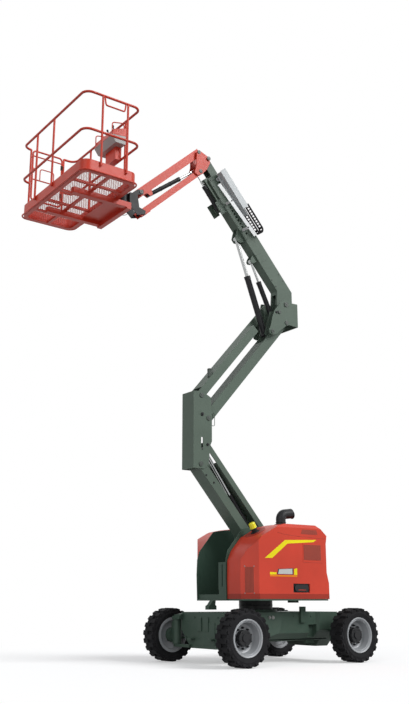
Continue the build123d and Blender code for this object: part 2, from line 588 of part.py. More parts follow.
def carrier():
    """Channel for the supply lines along the boom's near side, with a guide tube and eye brackets."""
    side = BOOM_HALF_W + SEAT
    inner = side + 10
    end = BOOM_L + 15
    tray = beam(E, BOOM_ANGLE, end - 780, end, 306, 314, inner, CARRIER_Y)
    tray += beam(E, BOOM_ANGLE, end - 780, end, 306, 350, inner, inner + 6)
    tray += beam(E, BOOM_ANGLE, end - 670, end + 10, 312, 424, CARRIER_Y - 8, CARRIER_Y)
    tray += beam(E, BOOM_ANGLE, end - 670, end + 10, 408, 424, CARRIER_Y - 45, CARRIER_Y)
    for s, n in ((end - 311, 251), (end - 80, 276)):
        at = along(E, BOOM_ANGLE, s, n)
        eye = pin(at, 32, side, inner + 6) + beam(E, BOOM_ANGLE, s - 32, s + 32, n, 312, side, inner + 6)
        tray += eye - pin(at, 12, side - 3, side + 30)
    tube_y = inner + 25
    tray += rod(along(E, BOOM_ANGLE, end - 820, 286), along(E, BOOM_ANGLE, end - 45, 286), 17, tube_y)
    for s in (end - 760, end - 460, end - 160):
        tray += beam(E, BOOM_ANGLE, s, s + 40, 284, 308, inner + 2, inner + 40)
    for s in (end - 700, end - 500):
        tray += beam(E, BOOM_ANGLE, s, s + 40, 314, 346, side, inner + 2)
    return tray


CHAIN_Y = (108.0, 190.0)
CHAIN_N = (330.0, 452.0)
CHAIN_S = (BOOM_L - 1050.0, BOOM_L - 625.0)
CHAIN_T = 30.0
CHAIN_PITCH = 46.0


def energy_chain():
    """U of open links: two side bands with a rung at each link, its lower run lying in the tray."""
    low, high = CHAIN_N
    mid, r = (low + high) / 2, (high - low) / 2
    centre = along(E, BOOM_ANGLE, CHAIN_S[0], mid)
    band = beam(E, BOOM_ANGLE, *CHAIN_S, high - CHAIN_T / 2, high + CHAIN_T / 2, *CHAIN_Y)
    band += beam(E, BOOM_ANGLE, *CHAIN_S, low - CHAIN_T / 2, low + CHAIN_T / 2, *CHAIN_Y)
    bend = pin(centre, r + CHAIN_T / 2, *CHAIN_Y) - pin(centre, r - CHAIN_T / 2, *CHAIN_Y)
    band += bend - beam(E, BOOM_ANGLE, CHAIN_S[0], CHAIN_S[1], 0, 900, 0, 300)
    inner = (CHAIN_Y[0] + 8, CHAIN_Y[1] - 8)
    links = int((CHAIN_S[1] - CHAIN_S[0]) / CHAIN_PITCH)
    for i in range(links):
        s = CHAIN_S[0] + CHAIN_PITCH * (i + 0.25)
        for n in CHAIN_N:
            band -= beam(E, BOOM_ANGLE, s, s + CHAIN_PITCH - 14, n - CHAIN_T, n + CHAIN_T, *inner)
    for i in range(3):
        turn = BOOM_ANGLE + 120 + 60 * i
        band -= beam(centre, turn, r - CHAIN_T, r + CHAIN_T, -15, 15, *inner)
    return band


parts["line_carrier"] = carrier()
parts["energy_chain"] = energy_chain()
SLAVE_S = FLY_L - 735.0
SLAVE_FOOT = along(E, BOOM_ANGLE, SLAVE_S, 20.0)
SLAVE_EYE = add(TIP, (165.0, -255.0))


def fly():
    """Inner telescopic box, its shallow nose with the tip pin, and the levelling cylinder's bars."""
    n0, n1 = BOOM_N
    half = BOOM_HALF_W - 18
    body = beam(E, BOOM_ANGLE, 700, BOOM_L + 30, n0 + 20, n1 - 20, -half, half)
    body -= beam(E, BOOM_ANGLE, 690, BOOM_L + 15, n0 + 28, n1 - 28, -half + 8, half - 8)
    body += beam(E, BOOM_ANGLE, BOOM_L + 17, FLY_L + 30, n1 - 135, n1 + 8, -half, half)
    body -= beam(E, BOOM_ANGLE, BOOM_L + 55, FLY_L + 40, n1 - 136, n1 - 20, -half + 12, half - 12)
    body -= beam(E, BOOM_ANGLE, FLY_L - 45, FLY_L + 40, n1 - 21, n1 + 9, -half + 12, half - 12)
    body += pin(TIP, PIN_R, -105, 105)
    for s in (730, BOOM_L - 145):
        body += beam(E, BOOM_ANGLE, s, s + 90, n0 + 12.5, n0 + 20, -half, half)
        body += beam(E, BOOM_ANGLE, s, s + 90, n1 - 20, n1 - 12.5, -half, half)
        body += beam(E, BOOM_ANGLE, s, s + 90, n0 + 60, n1 - 60, half, half + 7.5)
        body += beam(E, BOOM_ANGLE, s, s + 90, n0 + 60, n1 - 60, -half - 7.5, -half)
    for side in (-1, 1):
        y = tuple(sorted((side * 40, side * 52)))
        body += beam(E, BOOM_ANGLE, SLAVE_S - 50, BOOM_L + 45, 58, 98, *y)
        body += beam(E, BOOM_ANGLE, SLAVE_S - 50, SLAVE_S + 50, -10, 60, *y)
        body += beam(E, BOOM_ANGLE, BOOM_L + 13, BOOM_L + 53, 58, n0 + 30, *y)
    body += pin(SLAVE_FOOT, 16, -50, 50)
    return body


parts["fly_boom"] = fly()
cylinder("slave_cylinder", SLAVE_FOOT, SLAVE_EYE, 33, 13, 40, 148, 425, 28, 16, 18)


# ---- Jib --------------------------------------------------------------------------------
JIB_EYE = add(TIP, (222.0, -250.0))


def jib_head():
    """Gusseted head on the boom tip, carrying both jib beams."""
    shape = [(205, 85), (150, 90), (20, 40), (-30, 20), (-35, -60), (20, -180), (110, -290),
             (200, -330), (250, -300), (235, -240), (215, -140), (215, -20)]
    head = pair([add(TIP, p) for p in shape], 78, 92)
    head -= pin(TIP, PIN_R + RUN, -200, 200)
    head += pin(JIB_TOP, PIN_R, -90, 90) + pin(JIB_LOW, PIN_R, -90, -36)
    head += pin(JIB_LOW, PIN_R, 36, 90)
    inner = [(85, -150), (120, -138), (240, -225), (252, -262), (225, -280), (140, -292), (112, -250)]
    head += pair([add(TIP, p) for p in inner], 36, 48)
    head += pin(add(TIP, (112, -168)), 20, -80, 80)
    for at in (SLAVE_EYE, JIB_EYE):
        head += pin(at, 14, 32, 40) + pin(at, 14, -40, -32)
    return head


parts["jib_head"] = jib_head()
JIB_FOOT = along(JIB_TOP, JIB_ANGLE, 1225.0, -100.0)


def jib_beam_upper():
    """Hollow top beam with the lift cylinder's lugs near its front end."""
    beam_part = beam(JIB_TOP, JIB_ANGLE, -45, JIB_L + 45, -60, 60, -50, 50)
    beam_part -= beam(JIB_TOP, JIB_ANGLE, 60, JIB_L - 60, -52, 52, -42, 42)
    lug = [(1170, -58), (1200, -125), (1250, -125), (1280, -58)]
    beam_part += pair([along(JIB_TOP, JIB_ANGLE, s, n) for s, n in lug], 38, 50)
    beam_part += pin(JIB_FOOT, 16, -48, 48)
    for at in (JIB_TOP, JIB_TOP_END):
        beam_part -= pin(at, PIN_R + RUN, -80, 80)
    return beam_part


def jib_beam_lower():
    """Two side bars outside the upper beam's width, joined by a web on their underside."""
    bars = beam(JIB_LOW, JIB_ANGLE, -40, JIB_L + 40, -45, 45, 56, 68)
    bars += beam(JIB_LOW, JIB_ANGLE, -40, JIB_L + 40, -45, 45, -68, -56)
    web = beam(JIB_LOW, JIB_ANGLE, 1240, 1350, -54, -40, -68, 68)
    bars += web - beam(JIB_LOW, JIB_ANGLE, 1230, 1360, -46, -30, -56, 56)
    for at in (JIB_LOW, JIB_LOW_END):
        bars -= pin(at, PIN_R + RUN, -80, 80)
    return bars


parts["jib_beam_upper"] = jib_beam_upper()
parts["jib_beam_lower"] = jib_beam_lower()


def jib_bracket():
    """Upright at the jib's end with the rotator housing."""
    top, low = JIB_TOP_END, JIB_LOW_END
    shape = [(top[0] - 40, top[1] + 40), (top[0] + 60, top[1] + 20), (top[0] + 150, top[1] - 62),
             (top[0] + 150, low[1] + 22), (low[0] + 90, low[1] - 60), (low[0] - 45, low[1] - 20),
             (low[0] - 45, low[1] + 35), (low[0] + 60, low[1] + 60), (top[0] + 60, top[1] - 60),
             (top[0] - 40, top[1] - 30)]
    body = pair(shape, 74, 86)
    body += pin(top, PIN_R, -86, 86) + mirrored(pin(low, PIN_R, 40, 86))
    x = top[0] + 160
    body += box((x - 12, x + 28), (-90, 90), ROTATOR_Z)
    return body


housing = Pos(ROTATOR_X, 0, sum(ROTATOR_Z) / 2) * Cylinder(62, ROTATOR_Z[1] - ROTATOR_Z[0])
parts["jib_bracket"] = jib_bracket() + housing - Pos(ROTATOR_X, 0, sum(ROTATOR_Z) / 2) * Cylinder(24 + RUN, 600)


def platform_support():
    """Yoke above and below the rotator, and two arms under the basket."""
    z0, z1 = ROTATOR_Z
    yoke = Pos(ROTATOR_X, 0, z0 - 15) * Cylinder(62, 20) + Pos(ROTATOR_X, 0, z1 + 15) * Cylinder(62, 20)
    yoke += Pos(ROTATOR_X, 0, (z0 + z1) / 2) * Cylinder(24, z1 - z0 + 20)
    yoke += box((ROTATOR_X, ROTATOR_X + 110), (-62, 62), (z0 - 25, z0 - 5))
    yoke += box((ROTATOR_X, ROTATOR_X + 110), (-62, 62), (z1 + 5, z1 + 25))
    yoke += box((ROTATOR_X + 110, ROTATOR_X + 130), (-90, 90), (BASKET_Z - 100, z1 + 25))
    yoke += box((ROTATOR_X + 110, ROTATOR_X + 180), (-420, 420), (BASKET_Z - 100, BASKET_Z - 20))
    for y in (-380, 380):
        yoke += box((ROTATOR_X + 110, BASKET_X[1] - 150), (y - 40, y + 40),
                    (BASKET_Z - 80, BASKET_Z - SEAT))
    return yoke


parts["platform_support"] = platform_support()
cylinder("jib_cylinder", JIB_FOOT, JIB_EYE, 31, 17, 40, 130, 665, 60, 16, 20)


def rod_clevis(foot, eye):
    """Forked end of a rod, whose gap lets a second cylinder's eye pass."""
    angle = degrees(atan2(eye[1] - foot[1], eye[0] - foot[0]))
    fork = beam(eye, angle, -80, 0, -20, 20, -31, 31) + pin(eye, 20, -31, 31)
    return fork, beam(eye, angle, -62, 30, -30, 30, -19, 19)


fork, gap = rod_clevis(JIB_FOOT, JIB_EYE)
parts["jib_cylinder_rod"] = parts["jib_cylinder_rod"] + fork - gap


# ---- Basket -----------------------------------------------------------------------------
def rounded(x, y, r):
    """Rounded rectangle in plan."""
    return Pos((x[0] + x[1]) / 2, (y[0] + y[1]) / 2) * RectangleRounded(x[1] - x[0], y[1] - y[0], r)


def basket_tray():
    """Toe board round the floor and the floor's frame members."""
    gap = POST_R + SEAT
    edge = [(BASKET_X[0] + gap, BASKET_X[1] - gap), (BASKET_Y[0] + gap, BASKET_Y[1] - gap)]
    outer = rounded(*edge, CORNER_R - gap)
    inner = rounded((edge[0][0] + 5, edge[0][1] - 5), (edge[1][0] + 5, edge[1][1] - 5), CORNER_R - gap - 5)
    tray = extrude(Plane.XY.offset(BASKET_Z) * (outer - inner), TOE_H)
    frame = Plane.XY.offset(BASKET_Z) * (inner - rounded((BASKET_X[0] + 70, BASKET_X[1] - 70),
                                                        (BASKET_Y[0] + 70, BASKET_Y[1] - 70), 70))
    tray += extrude(frame, 30)
    for i in range(1, 5):
        y = BASKET_Y[0] + (BASKET_Y[1] - BASKET_Y[0]) * i / 5
        tray += box((edge[0][0] + 3, edge[0][1] - 3), (y - 20, y + 20), (BASKET_Z, BASKET_Z + 30))
    x = sum(BASKET_X) / 2
    tray += box((x - 20, x + 20), (edge[1][0] + 3, edge[1][1] - 3), (BASKET_Z, BASKET_Z + 30))
    z = BASKET_Z + FOOT_TUBE_R
    corners = [(px, py, z) for px, py in ((BASKET_X[0], BASKET_Y[0]), (BASKET_X[1], BASKET_Y[0]),
                                          (BASKET_X[1], BASKET_Y[1]), (BASKET_X[0], BASKET_Y[1]))]
    tray += tube(corners, FOOT_TUBE_R, CORNER_R - 20, close=True)
    for y in (BASKET_Y[0] + 260, BASKET_Y[0] + 700, BASKET_Y[1] - 700, BASKET_Y[1] - 260):
        for inner_x, outer_x in ((edge[0][0] + 2, BASKET_X[0]), (edge[0][1] - 2, BASKET_X[1])):
            tray += box(sorted((inner_x, outer_x)), (y - 15, y + 15), (BASKET_Z + 2, BASKET_Z + 20))
    for inner_y, outer_y in ((edge[1][0] + 2, BASKET_Y[0]), (edge[1][1] - 2, BASKET_Y[1])):
        tray += box((x - 15, x + 15), sorted((inner_y, outer_y)), (BASKET_Z + 2, BASKET_Z + 20))
    return tray


parts["basket_tray"] = basket_tray()


def basket_floor():
    """Mesh panels that lie on the floor frame."""
    gap = POST_R + SEAT + 5 + SEAT
    edge = [(BASKET_X[0] + gap, BASKET_X[1] - gap), (BASKET_Y[0] + gap, BASKET_Y[1] - gap)]
    return extrude(Plane.XY.offset(BASKET_Z + 30 + SEAT) * rounded(*edge, CORNER_R - gap), 4)


parts["basket_floor"] = basket_floor()
GATE_X = (BASKET_X[0] + 190, BASKET_X[1] - 120)
GATE_R = 13.0
GATE_HINGE = (GATE_X[0] + 1 + POST_R + GATE_R + SEAT, BASKET_Y[0])


def rail_loop(z):
    """Open rail round the basket that leaves the gate free at the far end."""
    x0, x1 = BASKET_X
    y0, y1 = BASKET_Y
    return tube([(GATE_X[1], y0, z), (x1, y0, z), (x1, y1, z), (x0, y1, z), (x0, y0, z),
                 (GATE_X[0], y0, z)], RAIL_R, CORNER_R - 20)


def basket_rails():
    """Top and middle rails on posts."""
    top, mid = BASKET_Z + RAIL_H, BASKET_Z + RAIL_H * 0.52
    rails = rail_loop(top) + rail_loop(mid)
    x0, x1 = BASKET_X
    y0, y1 = BASKET_Y
    foot = BASKET_Z + TOE_H - 60
    rails += tube([(x1, y0 + 560, top - 5), (x1, y0 + 560, top - 120), (x1, y0 + 880, top - 120),
                   (x1, y0 + 880, top - 5)], 11, 40)
    for x, y in ((x1, y0 + 480), (x1, y0 + 1000), (x0, y0 + 500), (x0, y1 - 400), (x1 - 260, y1),
                 (x0 + 200, y1), (GATE_X[1] - 1, y0), (GATE_X[0] + 1, y0)):
        rails += Pos(x, y, (foot + top) / 2) * Cylinder(POST_R, top - foot)
    return rails


parts["basket_rails"] = basket_rails()


def gate():
    """Tube frame that closes the far end."""
    y = BASKET_Y[0]
    x0, x1 = GATE_HINGE[0], GATE_X[1] - RAIL_R - GATE_R - 3
    z0, z1 = BASKET_Z + 330, BASKET_Z + RAIL_H
    frame = tube([(x0, y, z0 + 100), (x0, y, z1), (x1, y, z1), (x1, y, z0), (x0, y, z0),
                  (x0, y, z0 + 99)], GATE_R, 50)
    for height in (z1 - 85, z0 + 0.42 * (z1 - z0)):
        frame += tube([(x0, y, height), (x1, y, height)], GATE_R - 3)
    middle, foot = (x0 + x1) / 2, z0 + 0.42 * (z1 - z0)
    frame += tube([(middle - 110, y, foot), (middle - 110, y, foot + 190), (middle + 110, y, foot + 190),
                   (middle + 110, y, foot)], GATE_R - 5, 40)
    return frame


parts["gate"] = gate()


def console():
    """Sloped control box on a short column, with two guard loops over its face."""
    x = BASKET_X[0] + RAIL_R + SEAT
    z = BASKET_Z + CONSOLE_Z
    body = plate([(x, z), (x + 150, z), (x + 215, z + 90), (x + 190, z + 180), (x, z + 250)], *CONSOLE_Y)
    body += box((x, x + 90), (CONSOLE_Y[0] + 110, CONSOLE_Y[1] - 110), (z - 190, z + 1))
    for y in (CONSOLE_Y[0] + 20, CONSOLE_Y[1] - 20):
        body += tube([(x + 20, y, z + 200), (x + 20, y, z + 330), (x + 205, y, z + 290),
                      (x + 205, y, z + 130)], 8, 40)
    return body


parts["platform_console"] = console()


# ---- Export with the origin under the middle of the machine -------------------------------
whole = Compound(children=[Compound(children=p.solids()) for p in parts.values()])
span = whole.bounding_box()
shift = Pos(-(span.min.X + span.max.X) / 2, -(span.min.Y + span.max.Y) / 2, 0)
for name, part in parts.items():
    solids = [shift * s for s in part.solids()]
    shape = solids[0] if len(solids) == 1 else Compound(children=solids)
    export_step(shape, os.path.join("parts", name + ".step"))
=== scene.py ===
"""Finish of a self-propelled articulating boom lift: paint, rubber, chrome, fittings and decals.

Metres, X forward to the basket, Y to the machine's near side, Z up from the floor.
"""
import json
from math import cos, pi, radians, sin

import bmesh
import bpy
from mathutils import Matrix, Vector
from mathutils.bvhtree import BVHTree


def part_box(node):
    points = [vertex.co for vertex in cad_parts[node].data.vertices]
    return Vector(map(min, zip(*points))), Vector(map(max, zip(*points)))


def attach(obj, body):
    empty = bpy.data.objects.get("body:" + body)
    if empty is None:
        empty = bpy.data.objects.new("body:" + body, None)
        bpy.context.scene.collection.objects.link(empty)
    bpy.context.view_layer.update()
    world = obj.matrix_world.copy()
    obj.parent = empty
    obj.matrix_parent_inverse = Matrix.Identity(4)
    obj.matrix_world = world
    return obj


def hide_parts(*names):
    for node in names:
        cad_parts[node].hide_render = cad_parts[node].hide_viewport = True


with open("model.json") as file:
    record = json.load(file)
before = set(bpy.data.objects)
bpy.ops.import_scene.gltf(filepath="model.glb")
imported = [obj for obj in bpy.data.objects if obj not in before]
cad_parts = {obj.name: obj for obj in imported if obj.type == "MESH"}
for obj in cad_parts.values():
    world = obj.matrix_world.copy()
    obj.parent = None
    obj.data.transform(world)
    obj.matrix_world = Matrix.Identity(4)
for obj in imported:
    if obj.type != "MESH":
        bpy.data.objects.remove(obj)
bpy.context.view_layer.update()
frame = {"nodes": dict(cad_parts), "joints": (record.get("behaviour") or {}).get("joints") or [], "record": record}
body_of = {node: body for body, nodes in frame["record"]["behaviour"]["bodies"].items() for node in nodes}


# ---- Studio ----------------------------------------------------------------
# A seamless pale floor and a white surround, with one broad soft lamp high on the machine's
# near rear side and a weaker one in front. The camera stands low, as a person crouching would.
front_tyre, rear_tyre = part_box("tyre_front_near"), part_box("tyre_rear_far")
MIDDLE = (front_tyre[0] + front_tyre[1] + rear_tyre[0] + rear_tyre[1]) / 4
MIDDLE.z = 0.0
CAMERA_FROM_MIDDLE = (8.255, 10.183, 0.812)
CAMERA_PITCH = 15.59
CAMERA_HEADING = 144.40
CAMERA_LENS = 45.65
LAMPS = (("key_lamp", (-5.5, 9.0, 7.5), 2.1, 30.0),
         ("front_lamp", (8.0, 5.0, 3.2), 0.66, 40.0))
SURROUND_LIGHT = 0.34
FLOOR_SEEN = 0.80
FLOOR_BOUNCE = 0.34
FLOOR_GLOW = 0.38
FLOOR_FADE = (2.6, 6.5)


def on_machine(x, y, z):
    """A place measured from the floor under the middle of the wheelbase."""
    return MIDDLE + Vector((x, y, z))


def seen_directly(nodes, links):
    """Is 1 on rays from the eye, off polish and through clear plastic."""
    ray = nodes.new("ShaderNodeLightPath")
    shiny = nodes.new("ShaderNodeMath")
    shiny.operation = "MAXIMUM"
    clear = nodes.new("ShaderNodeMath")
    clear.operation = "MAXIMUM"
    links.new(ray.outputs["Is Camera Ray"], shiny.inputs[0])
    links.new(ray.outputs["Is Glossy Ray"], shiny.inputs[1])
    links.new(shiny.outputs[0], clear.inputs[0])
    links.new(ray.outputs["Is Transmission Ray"], clear.inputs[1])
    return clear.outputs[0]


def light_surround():
    world = bpy.data.worlds.new("surround")
    bpy.context.scene.world = world
    world.use_nodes = True
    nodes, links = world.node_tree.nodes, world.node_tree.links
    nodes.clear()
    soft, white = nodes.new("ShaderNodeBackground"), nodes.new("ShaderNodeBackground")
    soft.inputs["Color"].default_value = (0.93, 0.96, 1.0, 1)
    soft.inputs["Strength"].default_value = SURROUND_LIGHT
    white.inputs["Color"].default_value = (1, 1, 1, 1)
    white.inputs["Strength"].default_value = 1.0
    choose, out = nodes.new("ShaderNodeMixShader"), nodes.new("ShaderNodeOutputWorld")
    links.new(seen_directly(nodes, links), choose.inputs[0])
    links.new(soft.outputs[0], choose.inputs[1])
    links.new(white.outputs[0], choose.inputs[2])
    links.new(choose.outputs[0], out.inputs["Surface"])


def lay_floor():
    mesh = bmesh.new()
    bmesh.ops.create_grid(mesh, x_segments=1, y_segments=1, size=60.0)
    data = bpy.data.meshes.new("studio_floor")
    mesh.to_mesh(data)
    mesh.free()
    floor = bpy.data.objects.new("studio_floor", data)
    bpy.context.scene.collection.objects.link(floor)
    pale = bpy.data.materials.new("pale_floor")
    pale.use_nodes = True
    nodes, links = pale.node_tree.nodes, pale.node_tree.links
    nodes.clear()
    near, bounce = nodes.new("ShaderNodeBsdfDiffuse"), nodes.new("ShaderNodeBsdfDiffuse")
    near.inputs["Color"].default_value = (FLOOR_SEEN, FLOOR_SEEN, FLOOR_SEEN, 1)
    bounce.inputs["Color"].default_value = (FLOOR_BOUNCE, FLOOR_BOUNCE, FLOOR_BOUNCE, 1)
    glow, white = nodes.new("ShaderNodeEmission"), nodes.new("ShaderNodeEmission")
    glow.inputs["Strength"].default_value = FLOOR_GLOW
    white.inputs["Strength"].default_value = 1.0
    place, reach, fade = (nodes.new(kind) for kind in (
        "ShaderNodeTexCoord", "ShaderNodeVectorMath", "ShaderNodeMapRange"))
    reach.operation = "DISTANCE"
    reach.inputs[1].default_value = MIDDLE
    fade.interpolation_type = "SMOOTHSTEP"
    fade.inputs["From Min"].default_value, fade.inputs["From Max"].default_value = FLOOR_FADE
    links.new(place.outputs["Object"], reach.inputs[0])
    links.new(reach.outputs["Value"], fade.inputs["Value"])
    lit, seen, shown = nodes.new("ShaderNodeAddShader"), *(nodes.new("ShaderNodeMixShader") for _ in range(2))
    out = nodes.new("ShaderNodeOutputMaterial")
    links.new(near.outputs[0], lit.inputs[0])
    links.new(glow.outputs[0], lit.inputs[1])
    links.new(fade.outputs["Result"], seen.inputs[0])
    links.new(lit.outputs[0], seen.inputs[1])
    links.new(white.outputs[0], seen.inputs[2])
    links.new(seen_directly(nodes, links), shown.inputs[0])
    links.new(bounce.outputs[0], shown.inputs[1])
    links.new(seen.outputs[0], shown.inputs[2])
    links.new(shown.outputs[0], out.inputs["Surface"])
    data.materials.append(pale)


def hang_lamps():
    for name, come_from, power, spread in LAMPS:
        lamp = bpy.data.lights.new(name, "SUN")
        lamp.energy, lamp.angle = power, radians(spread)
        holder = bpy.data.objects.new(name, lamp)
        holder.location = on_machine(*come_from)
        holder.rotation_euler = Vector(come_from).to_track_quat("Z", "Y").to_euler()
        bpy.context.scene.collection.objects.link(holder)


def place_camera():
    lens = bpy.data.cameras.new("camera")
    lens.lens, lens.sensor_width, lens.clip_end = CAMERA_LENS, 36.0, 200.0
    camera = bpy.data.objects.new("camera", lens)
    camera.location = on_machine(*CAMERA_FROM_MIDDLE)
    camera.rotation_euler = (radians(90 + CAMERA_PITCH), 0, radians(CAMERA_HEADING))
    bpy.context.scene.collection.objects.link(camera)
    bpy.context.scene.camera = camera


light_surround()
lay_floor()
hang_lamps()
place_camera()
bpy.context.scene.view_settings.view_transform = "Standard"


# ---- Chassis ---------------------------------------------------------------
# Welded box of thick plate, sprayed dark green after welding. Its cut edges are ground round,
# and road dust dulls the paint low down. Plugs, fittings and bolts sit on its faces.
CHASSIS_GREEN = (0.040, 0.078, 0.056)
PLATE_EDGE = 0.004


def blank_finish(name):
    """A new finish: itself, its node tree, its shader, and the place on the object."""
    made = bpy.data.materials.new(name)
    made.use_nodes = True
    tree = made.node_tree
    return made, tree, tree.nodes["Principled BSDF"], tree.nodes.new("ShaderNodeTexCoord").outputs["Object"]


def noise(tree, place, scale, detail=2.0):
    """Cloudy unevenness."""
    cloud = tree.nodes.new("ShaderNodeTexNoise")
    cloud.inputs["Scale"].default_value, cloud.inputs["Detail"].default_value = scale, detail
    tree.links.new(place, cloud.inputs["Vector"])
    return cloud.outputs["Fac"]


def spread(tree, source, ends, reach=(0.0, 1.0)):
    """The source's reach stretched between two values."""
    scale = tree.nodes.new("ShaderNodeMapRange")
    scale.inputs["From Min"].default_value, scale.inputs["From Max"].default_value = reach
    scale.inputs["To Min"].default_value, scale.inputs["To Max"].default_value = ends
    tree.links.new(source, scale.inputs["Value"])
    return scale.outputs["Result"]


def two_tones(tree, source, tones, stops=(0.0, 1.0)):
    """The source as a shade between two tones."""
    ramp = tree.nodes.new("ShaderNodeValToRGB")
    for end, tone, stop in zip(ramp.color_ramp.elements, tones, stops):
        end.position, end.color = stop, (*tone, 1)
    tree.links.new(source, ramp.inputs["Fac"])
    return ramp.outputs["Color"]


def relief(tree, source, strength, depth):
    """The source as fine bumps."""
    bump = tree.nodes.new("ShaderNodeBump")
    bump.inputs["Strength"].default_value, bump.inputs["Distance"].default_value = strength, depth
    tree.links.new(source, bump.inputs["Height"])
    return bump.outputs["Normal"]


def paint(name, colour, roughness, dust=0.0, coat=0.0, shine=0.22):
    """Sprayed steel: faint cloudiness, orange peel, uneven sheen, and dust that thins with height."""
    made, tree, shader, place = blank_finish(name)
    for setting, value in (("Specular IOR Level", shine), ("Coat Weight", coat), ("Coat Roughness", 0.18)):
        shader.inputs[setting].default_value = value
    cloud, peel, scuff = (noise(tree, place, *grain) for grain in ((1.7, 4.0), (260.0, 1.0), (14.0, 6.0)))
    tones = [[min(1.0, share * c) for c in colour] for share in (0.90, 1.10)]
    shown = two_tones(tree, cloud, tones, (0.3, 0.72))
    sheen = spread(tree, scuff, (roughness - 0.07, roughness + 0.10))
    tree.links.new(sheen, shader.inputs["Roughness"])
    tree.links.new(relief(tree, peel, 0.12, 0.0006), shader.inputs["Normal"])
    if dust > 0:
        split, cover, dusty = (tree.nodes.new(kind) for kind in (
            "ShaderNodeSeparateXYZ", "ShaderNodeMath", "ShaderNodeMix"))
        tree.links.new(place, split.inputs[0])
        thinning = spread(tree, split.outputs["Z"], (dust, 0.15 * dust), (0.1, 1.3))
        cover.operation = "MULTIPLY"
        tree.links.new(thinning, cover.inputs[0])
        tree.links.new(scuff, cover.inputs[1])
        dusty.data_type = "RGBA"
        dusty.inputs["B"].default_value = (0.25, 0.23, 0.20, 1)
        tree.links.new(cover.outputs[0], dusty.inputs["Factor"])
        tree.links.new(shown, dusty.inputs["A"])
        shown = dusty.outputs["Result"]
    tree.links.new(shown, shader.inputs["Base Color"])
    return made


def set_piece(name, mesh, finish, node):
    """The worked mesh becomes a piece of the machine, in its finish and on the node's body."""
    data = bpy.data.meshes.new(name)
    mesh.to_mesh(data)
    mesh.free()
    data.materials.append(finish)
    for face in data.polygons:
        face.use_smooth = True
    data.set_sharp_from_angle(angle=radians(33))
    piece = bpy.data.objects.new(name, data)
    bpy.context.scene.collection.objects.link(piece)
    level = piece.modifiers.new("even_faces", "WEIGHTED_NORMAL")
    level.keep_sharp = True
    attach(piece, body_of[node])
    return piece


def eased(node, edge, finish, segments=2, from_angle=28):
    """The node's own form with every cut edge rounded, in place of the node."""
    mesh = bmesh.new()
    mesh.from_mesh(frame["nodes"][node].data)
    bmesh.ops.remove_doubles(mesh, verts=mesh.verts, dist=0.00002)
    bmesh.ops.dissolve_limit(mesh, angle_limit=radians(0.6), verts=mesh.verts, edges=mesh.edges)
    sharp = [e for e in mesh.edges if len(e.link_faces) == 2
             and e.calc_face_angle(0.0) > radians(from_angle)]
    bmesh.ops.bevel(mesh, geom=sharp, offset=edge, offset_type="OFFSET", segments=segments,
                    profile=0.5, affect="EDGES", material=-1, clamp_overlap=True)
    piece = set_piece(node + "_finished", mesh, finish, node)
    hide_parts(node)
    return piece


def stand(place, facing):
    """Takes a form built upright on the origin to a place, its top turned to the facing."""
    return Matrix.Translation(place) @ Vector(facing).to_track_quat("Z", "Y").to_matrix().to_4x4()


def add_disc(mesh, place, facing, radius, height, edge=0.0, sides=28, top=None):
    """A round or many-sided boss standing on a face, its outer edge rounded."""
    before = set(mesh.verts)
    bmesh.ops.create_cone(mesh, cap_ends=True, segments=sides, radius1=radius,
                          radius2=radius if top is None else top, depth=height)
    if edge > 0:
        rim = [e for e in mesh.edges if e.verts[0] not in before
               and min(v.co.z for v in e.verts) > 0.4 * height]
        bmesh.ops.bevel(mesh, geom=rim, offset=edge, segments=2, profile=0.5, affect="EDGES", material=-1)
    made = [v for v in mesh.verts if v not in before]
    bmesh.ops.translate(mesh, verts=made, vec=(0, 0, height / 2))
    bmesh.ops.transform(mesh, matrix=stand(place, facing), verts=made)


def add_bolt(mesh, place, facing, radius):
    """A hexagon head on its washer."""
    add_disc(mesh, place, facing, 1.35 * radius, 0.22 * radius, sides=20)
    add_disc(mesh, place, facing, radius, 0.95 * radius, edge=0.12 * radius, sides=6)


def add_ring(mesh, place, facing, radius, thick, steps=48):
    """A round bar bent to a closed ring."""
    before = set(mesh.verts)
    section = bmesh.ops.create_circle(mesh, segments=8, radius=thick)["verts"]
    upright = Matrix.Rotation(pi / 2, 4, "X")
    bmesh.ops.transform(mesh, verts=section, matrix=Matrix.Translation((radius, 0, 0)) @ upright)
    outline = list({e for v in section for e in v.link_edges})
    bmesh.ops.spin(mesh, geom=section + outline, cent=(0, 0, 0), axis=(0, 0, 1), dvec=(0, 0, 0),
                   angle=2 * pi, steps=steps, use_merge=True)
    made = [v for v in mesh.verts if v not in before]
    bmesh.ops.remove_doubles(mesh, verts=made, dist=0.00001)
    made = [v for v in mesh.verts if v not in before]
    bmesh.ops.recalc_face_normals(mesh, faces=list({f for v in made for f in v.link_faces}))
    bmesh.ops.transform(mesh, matrix=stand(place, facing), verts=made)


def add_slab(mesh, corners, push, edge=0.0):
    """A flat plate of any outline, thickened by the push, its cut edges rounded."""
    before = set(mesh.verts)
    face = mesh.faces.new([mesh.verts.new(corner) for corner in corners])
    grown = bmesh.ops.extrude_face_region(mesh, geom=[face])
    bmesh.ops.translate(mesh, vec=push, verts=[v for v in grown["geom"] if isinstance(v, bmesh.types.BMVert)])
    faces = [f for f in mesh.faces if f.verts[0] not in before]
    bmesh.ops.recalc_face_normals(mesh, faces=faces)
    if edge > 0:
        cuts = list({e for f in faces for e in f.edges if e.calc_face_angle(0.0) > 0.5})
        bmesh.ops.bevel(mesh, geom=cuts, offset=edge, segments=2, profile=0.5, affect="EDGES", material=-1)


